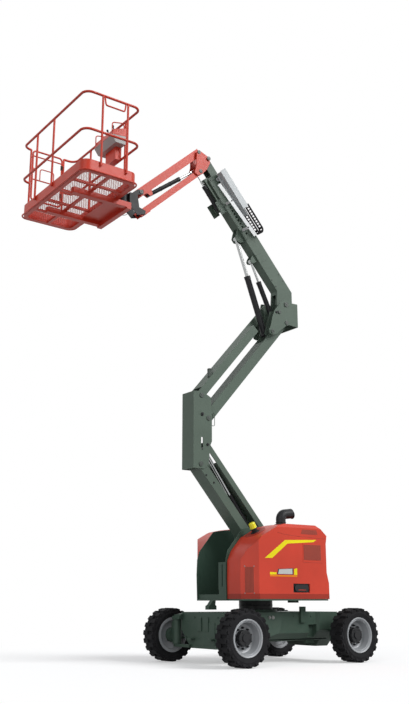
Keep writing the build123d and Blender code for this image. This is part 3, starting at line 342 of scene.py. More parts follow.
def add_tube(mesh, points, radius):
    """A round bar along a smooth line through the corners' middles."""
    line = bpy.data.curves.new("bent_tube", "CURVE")
    line.dimensions = "3D"
    line.bevel_depth, line.bevel_resolution, line.resolution_u, line.use_fill_caps = radius, 2, 8, True
    run = line.splines.new("NURBS")
    run.points.add(len(points) - 1)
    for knot, point in zip(run.points, points):
        knot.co = (*point, 1.0)
    run.order_u = 3
    run.use_endpoint_u = True
    holder = bpy.data.objects.new("bent_tube", line)
    shaped = bpy.data.meshes.new_from_object(holder)
    mesh.from_mesh(shaped)
    bpy.data.objects.remove(holder)
    bpy.data.curves.remove(line)
    bpy.data.meshes.remove(shaped)


green = paint("chassis_green", CHASSIS_GREEN, 0.46, dust=0.16)
zinc = paint("zinc_bolts", (0.30, 0.30, 0.29), 0.35, dust=0.1)
eased("chassis_frame", PLATE_EDGE, green)

END_FACE_X, END_BOLT_Y, END_BOLT_Z = 0.985, (-0.20, 0.33), 0.60
SIDE_FACE_Y, SIDE_BOLT_X, SIDE_BOLT_Z = 0.4805, (-0.52, -0.2, 0.52), 0.61
STEPPED_PLATE = ((-0.145, 0.245), (-0.145, 0.30), (-0.03, 0.33), (0.008, 0.452), (0.10, 0.462),
                 (0.112, 0.534), (0.266, 0.534), (0.266, 0.245))
PLATE_THICK = 0.006
WELD_RUN_Y, WELD_RUN_Z = (-0.50, -0.38, -0.27), 0.54
PLUG_YZ, PLUG_R = (-0.397, 0.335), 0.024
GUSSET = ((0.43, 0.481, 0.664), (-0.03, 0.481, 0.664), (0.086, 0.508, 0.396), (0.296, 0.508, 0.338))
GUSSET_DEPTH = 0.03
COUPLING_Y, COUPLINGS = 0.486, ((0.237, 0.597, 0.020), (0.178, 0.597, 0.024))
mesh = bmesh.new()
for end in (1, -1):
    outward = (end, 0, 0)
    plate = [on_machine(end * END_FACE_X, y, z) for y, z in STEPPED_PLATE]
    add_slab(mesh, plate, (end * PLATE_THICK, 0, 0), 0.0015)
    plug = on_machine(end * END_FACE_X, *PLUG_YZ)
    add_ring(mesh, plug, (1, 0, 0), PLUG_R, 0.006, 24)
    add_disc(mesh, plug, outward, PLUG_R - 0.010, 0.012, 0.003)
    for y in END_BOLT_Y:
        add_bolt(mesh, on_machine(end * (END_FACE_X + 0.0005), y, END_BOLT_Z), outward, 0.011)
    add_tube(mesh, [on_machine(end * END_FACE_X, y, WELD_RUN_Z) for y in WELD_RUN_Y], 0.003)
for side in (1, -1):
    add_slab(mesh, [on_machine(x, side * y, z) for x, y, z in GUSSET], (0, -side * GUSSET_DEPTH, 0), 0.002)
    for x in SIDE_BOLT_X:
        add_bolt(mesh, on_machine(x, side * SIDE_FACE_Y, SIDE_BOLT_Z), (0, side, 0), 0.009)
set_piece("chassis_fittings", mesh, green, "chassis_frame")
mesh = bmesh.new()
for side in (1, -1):
    tilted = (0, side, 0.1)
    for x, z, radius in COUPLINGS:
        add_disc(mesh, on_machine(x, side * COUPLING_Y, z), tilted, radius, 0.012, 0.003)
        add_disc(mesh, on_machine(x, side * (COUPLING_Y + 0.012), z), tilted, 0.5 * radius, 0.008, 0.002)
set_piece("chassis_couplings", mesh, zinc, "chassis_frame")


# ---- Steering --------------------------------------------------------------
# Cast steel knuckles turn on the kingpins, and a forged tie rod joins their arms. All three
# are sprayed with the chassis. Their cast corners are round.
for node in ("steering_knuckle_near", "steering_knuckle_far", "tie_rod"):
    eased(node, 0.003, green)


# ---- Wheels ----------------------------------------------------------------
# Foam-filled rubber tyres with block lugs, moulded in one piece. They sit on pressed steel rims
# in silver, bolted round a black hub that stands out from the bolt face.
RUBBER_BLACK = (0.012, 0.012, 0.013)
RIM_SILVER = (0.359, 0.374, 0.390)


def rubber(name, colour):
    """Moulded rubber, dull, with a fine grain and pale dust on it."""
    made, tree, shader, place = blank_finish(name)
    shader.inputs["Specular IOR Level"].default_value = 0.10
    grain, dirt = noise(tree, place, 180.0), noise(tree, place, 7.0, 8.0)
    dusty = [2.4 * c for c in colour]
    tree.links.new(two_tones(tree, dirt, (colour, dusty), (0.35, 0.85)), shader.inputs["Base Color"])
    tree.links.new(spread(tree, dirt, (0.62, 0.88)), shader.inputs["Roughness"])
    tree.links.new(relief(tree, grain, 0.35, 0.001), shader.inputs["Normal"])
    return made


black_rubber = rubber("tyre_rubber", RUBBER_BLACK)
silver = paint("rim_silver", RIM_SILVER, 0.30, dust=0.06, shine=0.5)
hub_black = paint("hub_black", (0.012, 0.013, 0.015), 0.40, dust=0.05)
HUB_CAP_R, HUB_FACE, BOLT_FACE = 0.102, 0.055, -0.020
CENTRE_CAP_R, CAP_BOLT_CIRCLE = 0.052, 0.076
RIM_SECTION = ((0.0, -0.038), (0.185, -0.038), (0.194, -0.100), (0.2355, -0.104), (0.2355, 0.104),
               (0.227, 0.112), (0.214, 0.108), (0.206, 0.090), (0.197, 0.086), (0.191, 0.020),
               (0.176, -0.010), (0.150, BOLT_FACE), (0.0, BOLT_FACE))
RIM_BEADS = ((0.229, 0.108, 0.005), (0.2005, 0.088, 0.004))
STUDS, STUD_CIRCLE = 10, 0.127
SIDE_LUGS, SIDE_LUG_R, SIDE_LUG_Y, SIDE_LUG_LEAN = 20, 0.317, 0.112, 20
SIDE_LUG_SIZE = (0.044, 0.012, 0.056)


def side_lugs(mesh, centre):
    """The blocks of tread carried a little way down both sidewalls."""
    for side, phase in ((-1, 0.26), (1, 0.76)):
        lean = Matrix.Rotation(-side * radians(SIDE_LUG_LEAN), 4, "X")
        for i in range(SIDE_LUGS):
            turn = (i + phase) * 2 * pi / SIDE_LUGS
            out = Vector((cos(turn), 0, sin(turn)))
            block = bmesh.ops.create_cube(mesh, size=1.0)["verts"]
            seat = Matrix.Translation(centre + out * SIDE_LUG_R + Vector((0, side * SIDE_LUG_Y, 0)))
            shape = Matrix.Rotation(pi / 2 - turn, 4, "Y") @ lean @ Matrix.Diagonal((*SIDE_LUG_SIZE, 1.0))
            bmesh.ops.transform(mesh, verts=block, matrix=seat @ shape)
    bmesh.ops.bevel(mesh, geom=mesh.edges[:], offset=0.005, segments=1, profile=0.5, affect="EDGES",
                    material=-1)


def dished_rim(centre, out):
    """Pressed wheel, spun from its section: drop centre, rolled flange and a bolt face set deep."""
    mesh = bmesh.new()
    corners = [mesh.verts.new((r, out * y, 0)) for r, y in RIM_SECTION]
    outline = [mesh.edges.new(pair) for pair in zip(corners, corners[1:])]
    bmesh.ops.spin(mesh, geom=corners + outline, cent=(0, 0, 0), axis=(0, 1, 0), dvec=(0, 0, 0), angle=2 * pi,
                   steps=64, use_merge=True)
    bmesh.ops.remove_doubles(mesh, verts=mesh.verts, dist=0.00002)
    bmesh.ops.recalc_face_normals(mesh, faces=mesh.faces)
    folds = [e for e in mesh.edges if len(e.link_faces) == 2 and e.calc_face_angle(0.0) > radians(28)]
    bmesh.ops.bevel(mesh, geom=folds, offset=0.003, segments=2, profile=0.5, affect="EDGES", material=-1)
    bmesh.ops.translate(mesh, vec=centre, verts=mesh.verts)
    return mesh


def hub(mesh, centre, out):
    """Hub cap with its centre cap and bolts, and the wheel studs round it."""
    outward = (0, out, 0)

    def at(radius, turn, depth):
        return centre + Vector((radius * cos(turn), out * depth, radius * sin(turn)))

    cap_foot = BOLT_FACE - 0.001
    add_disc(mesh, at(0, 0, cap_foot), outward, HUB_CAP_R, HUB_FACE - BOLT_FACE, 0.010, 48)
    add_disc(mesh, at(0, 0, HUB_FACE - 0.001), outward, CENTRE_CAP_R, 0.014, 0.005, 32)
    for i in range(STUDS):
        turn = 2 * pi * (i + 0.5) / STUDS
        add_disc(mesh, at(STUD_CIRCLE, turn, cap_foot), outward, 0.0135, 0.032, 0.002, 6)
        add_disc(mesh, at(STUD_CIRCLE, turn, cap_foot), outward, 0.007, 0.046, 0.001, 12)
        if i % 2:
            add_bolt(mesh, at(CAP_BOLT_CIRCLE, turn, HUB_FACE - 0.0005), outward, 0.007)


for place in ("front_near", "front_far", "rear_near", "rear_far"):
    rim_node, tyre_node = "rim_" + place, "tyre_" + place
    low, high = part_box(tyre_node)
    centre = (low + high) / 2
    out = 1 if centre.y > 0 else -1
    eased(tyre_node, 0.004, black_rubber)
    rim = set_piece(rim_node + "_dished", dished_rim(centre, out), silver, rim_node)
    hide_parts(rim_node)
    mesh = bmesh.new()
    side_lugs(mesh, centre)
    set_piece("tyre_side_lugs_" + place, mesh, black_rubber, tyre_node)
    mesh = bmesh.new()
    for radius, depth, thick in RIM_BEADS:
        add_ring(mesh, centre + Vector((0, out * depth, 0)), (0, out, 0), radius, thick, 64)
    set_piece("rim_rings_" + place, mesh, silver, rim_node)
    mesh = bmesh.new()
    hub(mesh, centre, out)
    set_piece("hub_studs_" + place, mesh, hub_black, rim_node)


# ---- Slewing bearing -------------------------------------------------------
# Black steel ring between the chassis and the turret. A circle of bolts holds its lower race
# down on the chassis, and a rubber seal runs round its edge.
MACHINE_BLACK = (0.014, 0.015, 0.017)
RING_BOLTS, RING_BOLT_CIRCLE, CHASSIS_TOP = 24, 0.262, 0.7002
black = paint("machine_black", MACHINE_BLACK, 0.42, dust=0.10)
eased("slew_ring", 0.004, black)
low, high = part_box("slew_ring")
ring_centre, ring_r = (low + high) / 2, (high.x - low.x) / 2
mesh = bmesh.new()
add_ring(mesh, ring_centre, (0, 0, 1), ring_r, 0.005, 72)
for i in range(RING_BOLTS):
    turn = 2 * pi * i / RING_BOLTS
    foot = ring_centre + RING_BOLT_CIRCLE * Vector((cos(turn), sin(turn), 0))
    foot.z = CHASSIS_TOP
    add_bolt(mesh, foot, (0, 0, 1), 0.011)
set_piece("slew_ring_bolts", mesh, black, "slew_ring")


# ---- Turret ----------------------------------------------------------------
# Deck and upright plates, cut and welded, in the chassis green. A cast counterweight closes the
# back, and the engine and the ground controls stand on the deck.
eased("turret_frame", 0.004, green)
for node in ("counterweight", "engine", "ground_control_box"):
    eased(node, 0.004, black)


# ---- Cowls -----------------------------------------------------------------
# Moulded covers over engine and tanks, gelcoated in signal red. They carry a yellow stripe, a blank sign,
# punched vents and a skirt in darker reds as painted shade, and a black handle recess, the same on both sides.
SIGNAL_RED = (0.64, 0.058, 0.030)
red = paint("signal_red", SIGNAL_RED, 0.36, coat=0.06)
for side in ("near", "far"):
    eased("cowl_" + side, 0.012, red, segments=3)


def painted_shade_holes(name, colour, pitch):
    """Thin sheet punched all over with small holes, drawn as darker dots of painted shade."""
    made = paint(name, colour, 0.5, dust=0.05)
    tree = made.node_tree
    skin = tree.nodes["Principled BSDF"].inputs["Base Color"]
    place = next(node for node in tree.nodes if node.type == "TEX_COORD").outputs["Object"]
    holes, shade = tree.nodes.new("ShaderNodeTexVoronoi"), tree.nodes.new("ShaderNodeMix")
    holes.inputs["Scale"].default_value = 1.0 / pitch
    holes.inputs["Randomness"].default_value = 0.0
    tree.links.new(place, holes.inputs["Vector"])
    shade.data_type = "RGBA"
    shade.inputs["A"].default_value = (*(0.35 * c for c in colour), 1)
    tree.links.new(spread(tree, holes.outputs["Distance"], (0.0, 1.0), (0.30, 0.42)), shade.inputs["Factor"])
    tree.links.new(skin.links[0].from_socket, shade.inputs["B"])
    tree.links.new(shade.outputs["Result"], skin)
    return made


COWL_SIDE = 0.800
STRIPE = ((0.557, 1.363), (0.198, 1.608), (-0.373, 1.630), (-0.313, 1.597), (0.155, 1.563), (0.428, 1.366))
SIGN_BARS = (("yellow", ((0.472, 1.152), (0.472, 1.182), (0.36, 1.182), (0.36, 1.152))),
             ("yellow", ((0.05, 1.152), (0.05, 1.228), (-0.005, 1.242), (-0.005, 1.152))),
             ("orange", ((0.472, 1.127), (0.472, 1.147), (-0.005, 1.147), (-0.005, 1.127))))
SIGN_PLATE = ((0.352, 1.156), (0.330, 1.226), (0.062, 1.238), (0.062, 1.156))
SIDE_VENT = ((-0.132, 1.354), (-0.132, 1.559), (-0.447, 1.559), (-0.447, 1.354))
DOOR_LINE = ((-0.116, 1.575), (-0.116, 1.32), (-0.47, 1.32))
SKIRT_X = (-0.583, 0.652)
RECESS_X, RECESS_Z, RECESS_BACK = (-0.226, 0.066), (0.924, 1.037), 0.780
FRONT_VENT = ((0.789, 0.6695), (0.706, 0.7505))
FRONT_VENT_Z = (0.92, 1.246)
ROOF_VENT = ((-0.09, 1.700), (-0.115, 1.762), (-0.375, 1.762), (-0.40, 1.700))
FOLD_LINE = ((0.33, 1.706), (0.12, 1.668), (-0.30, 1.662), (-0.552, 1.645))
HANDLE_ENDS, HANDLE_Z, HANDLE_R = (-0.004, -0.158), 0.981, 0.046
HANDLE_LIP = ((-0.020, 0.950), (-0.020, 0.963), (-0.154, 0.963), (-0.154, 0.950))
FRONT_EDGE = ((0.8308, 0.350), (0.8308, 0.6285), (0.6545, 0.8005))
SKIRT_Z = (0.840, 0.905)
FAR_SHIFT = -0.137

yellow_film = paint("yellow_film", (0.96, 0.80, 0.010), 0.34)
orange_film = paint("orange_film", (0.88, 0.26, 0.012), 0.34)
pale_film = paint("pale_film", (0.62, 0.62, 0.60), 0.34)
dark_film = paint("dark_film", (0.05, 0.05, 0.055), 0.34)
# Darker red: on the skirts, the hood fold and the beacon dish it is painted shade; the door joint and the stop
# button have it as their own colour.
dark_red_and_painted_shade = paint("red_trim_and_painted_shade", (0.36, 0.034, 0.018), 0.42)
# Vent sheet: a red darker than the cowls', with darker dots, both painted shade of the holes.
vent_red_painted_shade = painted_shade_holes("vent_red_painted_shade", (0.42, 0.070, 0.045), 0.012)
films = {"yellow": yellow_film, "orange": orange_film}


def oblong(x, z):
    """The corners of an upright oblong between two values of x and two of z."""
    return ((x[1], z[0]), (x[1], z[1]), (x[0], z[1]), (x[0], z[0]))


def flat_on(side, outline, proud=0.0009, level=COWL_SIDE, shift=0.0, edge=0.0):
    """A thin sheet of the outline on a cowl's flat side."""
    mesh = bmesh.new()
    glued = 0.0006
    corners = [on_machine(x + shift, side * (level - glued), z) for x, z in outline]
    add_slab(mesh, corners, (0, side * (proud + glued), 0), edge)
    return mesh


def handle_cover():
    """The outline of the handle's cover, a bar with round ends."""
    front, back = HANDLE_ENDS
    ends = [(front, radians(turn)) for turn in range(-90, 91, 15)]
    ends += [(back, radians(turn)) for turn in range(90, 271, 15)]
    return [(x + HANDLE_R * cos(turn), HANDLE_Z + HANDLE_R * sin(turn)) for x, turn in ends]


for side, place, shift in ((1, "near", 0.0), (-1, "far", FAR_SHIFT)):
    cowl = "cowl_" + place
    set_piece("stripe_" + place, flat_on(side, STRIPE, shift=shift), yellow_film, cowl)
    for i, (colour, bar) in enumerate(SIGN_BARS):
        set_piece("sign_bar_%d_%s" % (i + 1, place), flat_on(side, bar), films[colour], cowl)
    middle = sum((Vector(corner) for corner in SIGN_PLATE), Vector((0, 0))) / len(SIGN_PLATE)
    inner = [middle + 0.86 * (Vector(corner) - middle) for corner in SIGN_PLATE]
    skirt = oblong((SKIRT_X[0], SKIRT_X[1] + shift), SKIRT_Z)
    # The vents and the skirt are in darker reds that are painted shade.
    for name, outline, proud, edge, finish in (
            ("sign_edge_", SIGN_PLATE, 0.0006, 0.0, dark_film),
            ("sign_blank_", inner, 0.0012, 0.0, pale_film),
            ("side_vent_", SIDE_VENT, 0.003, 0.001, vent_red_painted_shade),
            ("roof_vent_", ROOF_VENT, 0.0015, 0.0, vent_red_painted_shade),
            ("handle_cover_", handle_cover(), 0.0025, 0.0, black),
            ("handle_lip_", HANDLE_LIP, 0.0035, 0.0, dark_red_and_painted_shade),
            ("skirt_", skirt, 0.003, 0.0012, dark_red_and_painted_shade)):
        set_piece(name + place, flat_on(side, outline, proud, edge=edge), finish, cowl)
    mesh = bmesh.new()
    for (xa, za), (xb, zb) in zip(DOOR_LINE, DOOR_LINE[1:]):
        run = ((xa, za), ((xa + xb) / 2, (za + zb) / 2), (xb, zb))
        add_tube(mesh, [on_machine(x, side * COWL_SIDE, z) for x, z in run], 0.0018)
    set_piece("door_joint_" + place, mesh, dark_red_and_painted_shade, cowl)
    recess = flat_on(side, oblong(RECESS_X, RECESS_Z), 0.0006, level=RECESS_BACK)
    set_piece("handle_recess_" + place, recess, black, cowl)
    # A darker red line along the hood's fold, painted shade in its crease.
    mesh = bmesh.new()
    add_tube(mesh, [on_machine(x, side * COWL_SIDE, z) for x, z in FOLD_LINE], 0.0022)
    set_piece("hood_fold_" + place, mesh, dark_red_and_painted_shade, cowl)


def front_sheet(mesh, start, end, heights, sunk, thick, edge=0.0):
    """An upright sheet on one facet of the near cowl's front. Gives its corners and its facing."""
    (xa, ya), (xb, yb), (z0, z1) = start, end, heights
    facing = Vector((yb - ya, xa - xb, 0)).normalized()
    corners = [on_machine(x, y, z) for x, y, z in ((xa, ya, z0), (xb, yb, z0), (xb, yb, z1), (xa, ya, z1))]
    add_slab(mesh, [corner - sunk * facing for corner in corners], thick * facing, edge)
    return corners, facing


# The skirt round the front facets, in darker red as painted shade.
mesh = bmesh.new()
for start, end in zip(FRONT_EDGE, FRONT_EDGE[1:]):
    front_sheet(mesh, start, end, SKIRT_Z, 0.001, 0.003)
set_piece("front_skirt", mesh, dark_red_and_painted_shade, "cowl_near")
mesh = bmesh.new()
corners, facing = front_sheet(mesh, *FRONT_VENT, FRONT_VENT_Z, 0.001, 0.003, 0.001)
set_piece("front_vent", mesh, vent_red_painted_shade, "cowl_near")
mesh = bmesh.new()
for corner, (aside, up) in zip(corners, ((1, -1), (-1, -1), (-1, 1), (1, 1))):
    place = corner + Vector((0, 0, up * 0.009)) + aside * 0.004 * facing.cross(Vector((0, 0, 1)))
    add_bolt(mesh, place, facing, 0.006)
set_piece("front_vent_bolts", mesh, zinc, "cowl_near")


# ---- Beacon ----------------------------------------------------------------
# Amber plastic lens with moulded ribs, screwed to a black plastic foot. Foot and gasket sit in a round dish in
# the near cowl's sloping front, in darker red as painted shade round the beacon's foot.
BEACON_SEAT, BEACON_UP = (0.470, 0.500, 1.7167), Vector((0.465, 0.0, 0.885))
LENS_FOOT, LENS_R, LENS_RIBS = 0.066, 0.0455, (0.082, 0.098, 0.114)
amber = paint("amber_lens", (0.88, 0.82, 0.010), 0.2, coat=0.3)
seat, beacon_way = on_machine(*BEACON_SEAT), BEACON_UP.normalized()
lamp = eased("beacon", 0.003, amber)
lamp.data.materials.append(black)
for face in lamp.data.polygons:
    face.material_index = int((face.center - seat).dot(beacon_way) < LENS_FOOT)
mesh = bmesh.new()
for height in LENS_RIBS:
    add_ring(mesh, seat + height * beacon_way, BEACON_UP, LENS_R, 0.0026, 32)
set_piece("beacon_ribs", mesh, amber, "beacon")
mesh = bmesh.new()
add_disc(mesh, seat, BEACON_UP, 0.066, 0.010, 0.003, 32)
set_piece("beacon_gasket", mesh, black, "beacon")
# The dish in darker red: painted shade round the beacon's foot.
mesh = bmesh.new()
add_disc(mesh, seat - 0.002 * BEACON_UP, BEACON_UP, 0.150, 0.005, 0.002, 48)
set_piece("beacon_dish", mesh, dark_red_and_painted_shade, "cowl_near")


# ---- Exhaust ---------------------------------------------------------------
# Bent steel pipe in heat-proof black, with a rolled bead round its mouth. A flange and a clamp hold its foot on
# the near cowl's roof, and a near-black disc across its mouth is its sooty bore with the bore's shade painted on.
PIPE_FOOT, PIPE_R = (0.060, 0.560, 1.832), 0.068
MOUTH_WAY, BEAD_R, CLAMP_HEIGHT = Vector((-0.96, 0.0, 0.28)), 0.004, 0.03
eased("exhaust_stack", 0.004, black)
soot_and_bore_shade = paint("soot_and_bore_shade", (0.004, 0.004, 0.004), 0.8)
low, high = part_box("exhaust_stack")
mouth = Vector((low.x + 0.006, MIDDLE.y + PIPE_FOOT[1], high.z - PIPE_R - 0.006))
foot = on_machine(*PIPE_FOOT)
mesh = bmesh.new()
add_ring(mesh, mouth, MOUTH_WAY, PIPE_R - 0.002, BEAD_R, 40)
add_ring(mesh, foot + Vector((0, 0, CLAMP_HEIGHT)), (0, 0, 1), PIPE_R + 0.001, 0.006, 40)
add_disc(mesh, foot, (0, 0, 1), PIPE_R + 0.022, 0.008, 0.003, 40)
set_piece("exhaust_lip", mesh, black, "exhaust_stack")
# A near-black disc across the mouth: soot and the painted shade of the bore.
mesh = bmesh.new()
add_disc(mesh, mouth + 0.0002 * MOUTH_WAY, MOUTH_WAY, PIPE_R - 0.003, 0.002, 0.0, 40)
set_piece("exhaust_bore", mesh, soot_and_bore_shade, "exhaust_stack")


# ---- Risers and knuckles ---------------------------------------------------
# Links and knuckles, folded and welded from plate and sprayed grey green. They turn on steel
# pins, whose flanged heads are bolted to the cheeks so that they can't turn or creep out.
ARM_GREY = (0.100, 0.138, 0.108)
PIN_ENDS = (("mid_knuckle", "mid_knuckle", 0.034), ("long_link_lower", "mid_knuckle", 0.034),
            ("long_link_upper", "mid_knuckle", 0.034), ("top_knuckle", "top_knuckle", 0.034),
            ("boom", "top_knuckle", 0.040), ("lift_barrel", "top_knuckle", 0.032),
            ("level_barrel", "top_knuckle", 0.028), ("head", "fly_boom", 0.032))
SIDE_PLUGS = (("mid_knuckle", 1.011, 2.922, 0.020), ("mid_knuckle", 1.106, 3.346, 0.026),
              ("top_knuckle", -0.255, 5.097, 0.022), ("top_knuckle", -0.166, 4.775, 0.022),
              ("riser_link_front", 1.022, 2.497, 0.014), ("riser_link_front", 0.893, 2.402, 0.014))
STUB_FOOT, STUB_R, STUB_HEIGHT = (0.914, 0.060, 3.925), 0.036, 0.125
grey = paint("arm_grey", ARM_GREY, 0.44, dust=0.03)
pin_steel = paint("pin_steel", (0.060, 0.075, 0.064), 0.36, shine=0.4)
joint_at = {joint["name"]: Vector(joint["pos_m"]) for joint in frame["joints"]}
axis_of = {joint["name"]: Vector(joint["axis"]).normalized() for joint in frame["joints"]}
surfaces = {}
for node in ("riser_link_front", "riser_link_rear", "mid_knuckle", "upper_riser_link_upper",
             "upper_riser_link_lower", "top_knuckle", "boom", "fly_boom"):
    eased(node, 0.004, grey)


def on_side(node, place, side):
    """Where a line across the machine through a place first meets a node from one side, or None."""
    if node not in surfaces:
        form = bmesh.new()
        form.from_mesh(frame["nodes"][node].data)
        surfaces[node] = BVHTree.FromBMesh(form)
        form.free()
    return surfaces[node].ray_cast(Vector((place.x, side * 1.5, place.z)), Vector((0, -side, 0)))[0]


def pin_end(mesh, node, centre, radius, side):
    """Flanged head of a pivot pin, with the cap of its bolt, where the node carries it."""
    spot = on_side(node, centre, side)
    if spot is not None:
        add_disc(mesh, spot - Vector((0, side * 0.001, 0)), (0, side, 0), radius, 0.009, 0.002, 32)
        add_disc(mesh, spot + Vector((0, side * 0.007, 0)), (0, side, 0), 0.35 * radius, 0.004, 0.001, 20)


def plug(mesh, node, centre, radius, side):
    """A turned plug with a bolt in its middle, on the node's side."""
    spot = on_side(node, centre, side)
    add_disc(mesh, spot - Vector((0, side * 0.001, 0)), (0, side, 0), radius, 0.007, 0.0015, 24)
    add_bolt(mesh, spot + Vector((0, side * 0.0055, 0)), (0, side, 0), 0.45 * radius)


for node in ("mid_knuckle", "top_knuckle", "fly_boom"):
    mesh = bmesh.new()
    for joint, carrier, radius in PIN_ENDS:
        for side in (1, -1):
            if carrier == node:
                pin_end(mesh, node, joint_at[joint], radius, side)
    set_piece("pin_ends_" + node, mesh, pin_steel, node)
for node in ("mid_knuckle", "top_knuckle", "riser_link_front"):
    mesh = bmesh.new()
    for carrier, x, z, radius in SIDE_PLUGS:
        for side in (1, -1):
            if carrier == node:
                plug(mesh, node, on_machine(x, 0, z), radius, side)
    set_piece("side_plugs_" + node, mesh, black, node)
mesh = bmesh.new()
stub_foot = on_machine(*STUB_FOOT)
add_disc(mesh, stub_foot, (0, 0, 1), STUB_R, STUB_HEIGHT, 0.004, 32)
add_ring(mesh, stub_foot + Vector((0, 0, STUB_HEIGHT - 0.020)), (0, 0, 1), STUB_R, 0.003, 32)
set_piece("link_stop_stub", mesh, pin_steel, "upper_riser_link_upper")


# ---- Boom ------------------------------------------------------------------
# Box of folded plate, welded along its length, in which the inner boom slides on wear pads. The
# pads' bolts and the cross seams show on its sides, and bolted plates close the inner boom's foot.
BOOM_LENGTH, BOOM_SIDE_N, SEAM_Y = 2.245, (0.140, 0.322), 0.0803
PAD_BOLT_S = (BOOM_LENGTH - 0.015, BOOM_LENGTH - 0.12, 0.30, 0.42)
BOOM_SEAMS = (((0.888, 0.118), (0.864, 0.243)), ((0.744, 0.150), (0.721, 0.288)))
FOOT_PLATE = ((1.702, -0.050), (1.915, -0.046), (1.915, 0.092), (1.702, 0.092))
FOOT_PLATE_Y, FOOT_PLATE_THICK = 0.0975, 0.008
FOOT_BOLT_S, FOOT_BOLT_N = (1.728, 1.780, 1.838, 1.890), (-0.020, 0.064)
boom_way = axis_of["fly_slide"]
boom_up = Vector((-boom_way.z, 0, boom_way.x))


def on_boom(s, n, y=0.0):
    """A place s along the boom from its pivot, n square above that line and y across."""
    return joint_at["boom"] + s * boom_way + n * boom_up + Vector((0, y, 0))


mesh = bmesh.new()
for s in PAD_BOLT_S:
    for n in BOOM_SIDE_N:
        for side in (1, -1):
            spot = on_side("boom", on_boom(s, n), side)
            if spot is not None:
                add_bolt(mesh, spot - Vector((0, side * 0.0005, 0)), (0, side, 0), 0.009)
set_piece("boom_wear_pad_bolts", mesh, pin_steel, "boom")
mesh = bmesh.new()
for (sa, na), (sb, nb) in BOOM_SEAMS:
    for side in (1, -1):
        run = ((sa, na), ((sa + sb) / 2, (na + nb) / 2), (sb, nb))
        add_tube(mesh, [on_boom(s, n, side * SEAM_Y) for s, n in run], 0.0022)
set_piece("boom_weld_seams", mesh, pin_steel, "boom")
mesh = bmesh.new()
bolts = bmesh.new()
for side in (1, -1):
    plate = [on_boom(s, n, side * FOOT_PLATE_Y) for s, n in FOOT_PLATE]
    add_slab(mesh, plate, (0, side * FOOT_PLATE_THICK, 0), 0.002)
    for s in FOOT_BOLT_S:
        for n in FOOT_BOLT_N:
            bolt_y = side * (FOOT_PLATE_Y + FOOT_PLATE_THICK - 0.0005)
            add_bolt(bolts, on_boom(s, n, bolt_y), (0, side, 0), 0.009)
set_piece("fly_foot_plates", mesh, grey, "fly_boom")
set_piece("fly_foot_bolts", bolts, pin_steel, "fly_boom")


# ---- Cylinders -------------------------------------------------------------
# Black drawn-steel barrels with ground and hard-chromed rods, an eye welded on each end. A steel
# oil line runs along each outer barrel in two clips.
OIL_LINES = (("lift", 0.047, 0.14, 0.87), ("level", 0.038, 0.10, 0.50),
             ("slave", 0.033, 0.07, 0.37), ("jib", 0.031, 0.09, 0.61))
LINE_R, CLIPS = 0.004, (0.3, 0.7)


def chrome(name):
    """Hard chrome on a ground rod, bright and dull in turns under a film of oil."""
    made, tree, shader, place = blank_finish(name)
    shader.inputs["Metallic"].default_value = 1.0
    smear = noise(tree, place, 30.0)
    tree.links.new(spread(tree, smear, (0.10, 0.28)), shader.inputs["Roughness"])
    tones = ((0.30, 0.31, 0.31), (0.48, 0.49, 0.49))
    tree.links.new(two_tones(tree, smear, tones), shader.inputs["Base Color"])
    return made


rod_chrome = chrome("rod_chrome")
for ram in ("riser", "lift", "level", "slave", "jib"):
    eased(ram + "_cylinder_barrel", 0.002, black)
    eased(ram + "_cylinder_rod", 0.002, rod_chrome)
for ram, barrel_r, start, end in OIL_LINES:
    foot, way = joint_at[ram + "_barrel"], axis_of[ram + "_rod"]
    mesh = bmesh.new()
    beside = Vector((0, barrel_r + LINE_R, 0))
    add_tube(mesh, [foot + s * way + beside for s in (start, (start + end) / 2, end)], LINE_R)
    for s in (start, end):
        port = foot + s * way + Vector((0, barrel_r - 0.004, 0))
        add_disc(mesh, port, (0, 1, 0), 0.011, 0.014, 0.002, 6)
    for share in CLIPS:
        add_ring(mesh, foot + (start + share * (end - start)) * way, way, barrel_r + 0.0015, 0.003, 32)
    set_piece(ram + "_cylinder_line", mesh, black, ram + "_cylinder_barrel")


# ---- Line carrier ----------------------------------------------------------
# Galvanised tray on the boom's near side, with a folded chain of black plastic links that leads
# the lines out to the inner boom. A white guide bar on two brackets keeps the chain in its tray.
GUIDE_BAR = ((1.150, 0.178), (2.120, 0.094), (2.120, 0.164), (1.150, 0.250))
BRACKET_S, BRACKET_N, BRACKET_LENGTH, BRACKET_Y = (1.30, 1.78), (0.15, 0.19), 0.04, 0.078
galvanised = paint("galvanised", (0.50, 0.53, 0.54), 0.40, shine=0.5)
bar_white = paint("bar_white", (0.74, 0.76, 0.76), 0.35, shine=0.4)
chain_black = rubber("chain_plastic", (0.010, 0.010, 0.011))
eased("line_carrier", 0.002, galvanised)
eased("energy_chain", 0.002, chain_black)
bar_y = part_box("line_carrier")[1].y + 0.001
mesh = bmesh.new()
bolts = bmesh.new()
add_slab(mesh, [on_boom(s, n, bar_y) for s, n in GUIDE_BAR], (0, 0.007, 0), 0.002)
for start in BRACKET_S:
    bracket = [on_boom(s, n, BRACKET_Y) for s, n in oblong((start, start + BRACKET_LENGTH), BRACKET_N)]
    add_slab(mesh, bracket, (0, bar_y - BRACKET_Y + 0.002, 0), 0.002)
    bolt_place = on_boom(start + BRACKET_LENGTH / 2, sum(BRACKET_N) / 2, bar_y + 0.0065)
    add_bolt(bolts, bolt_place, (0, 1, 0), 0.010)
set_piece("guide_bar", mesh, bar_white, "line_carrier")
set_piece("guide_bar_bolts", bolts, black, "line_carrier")


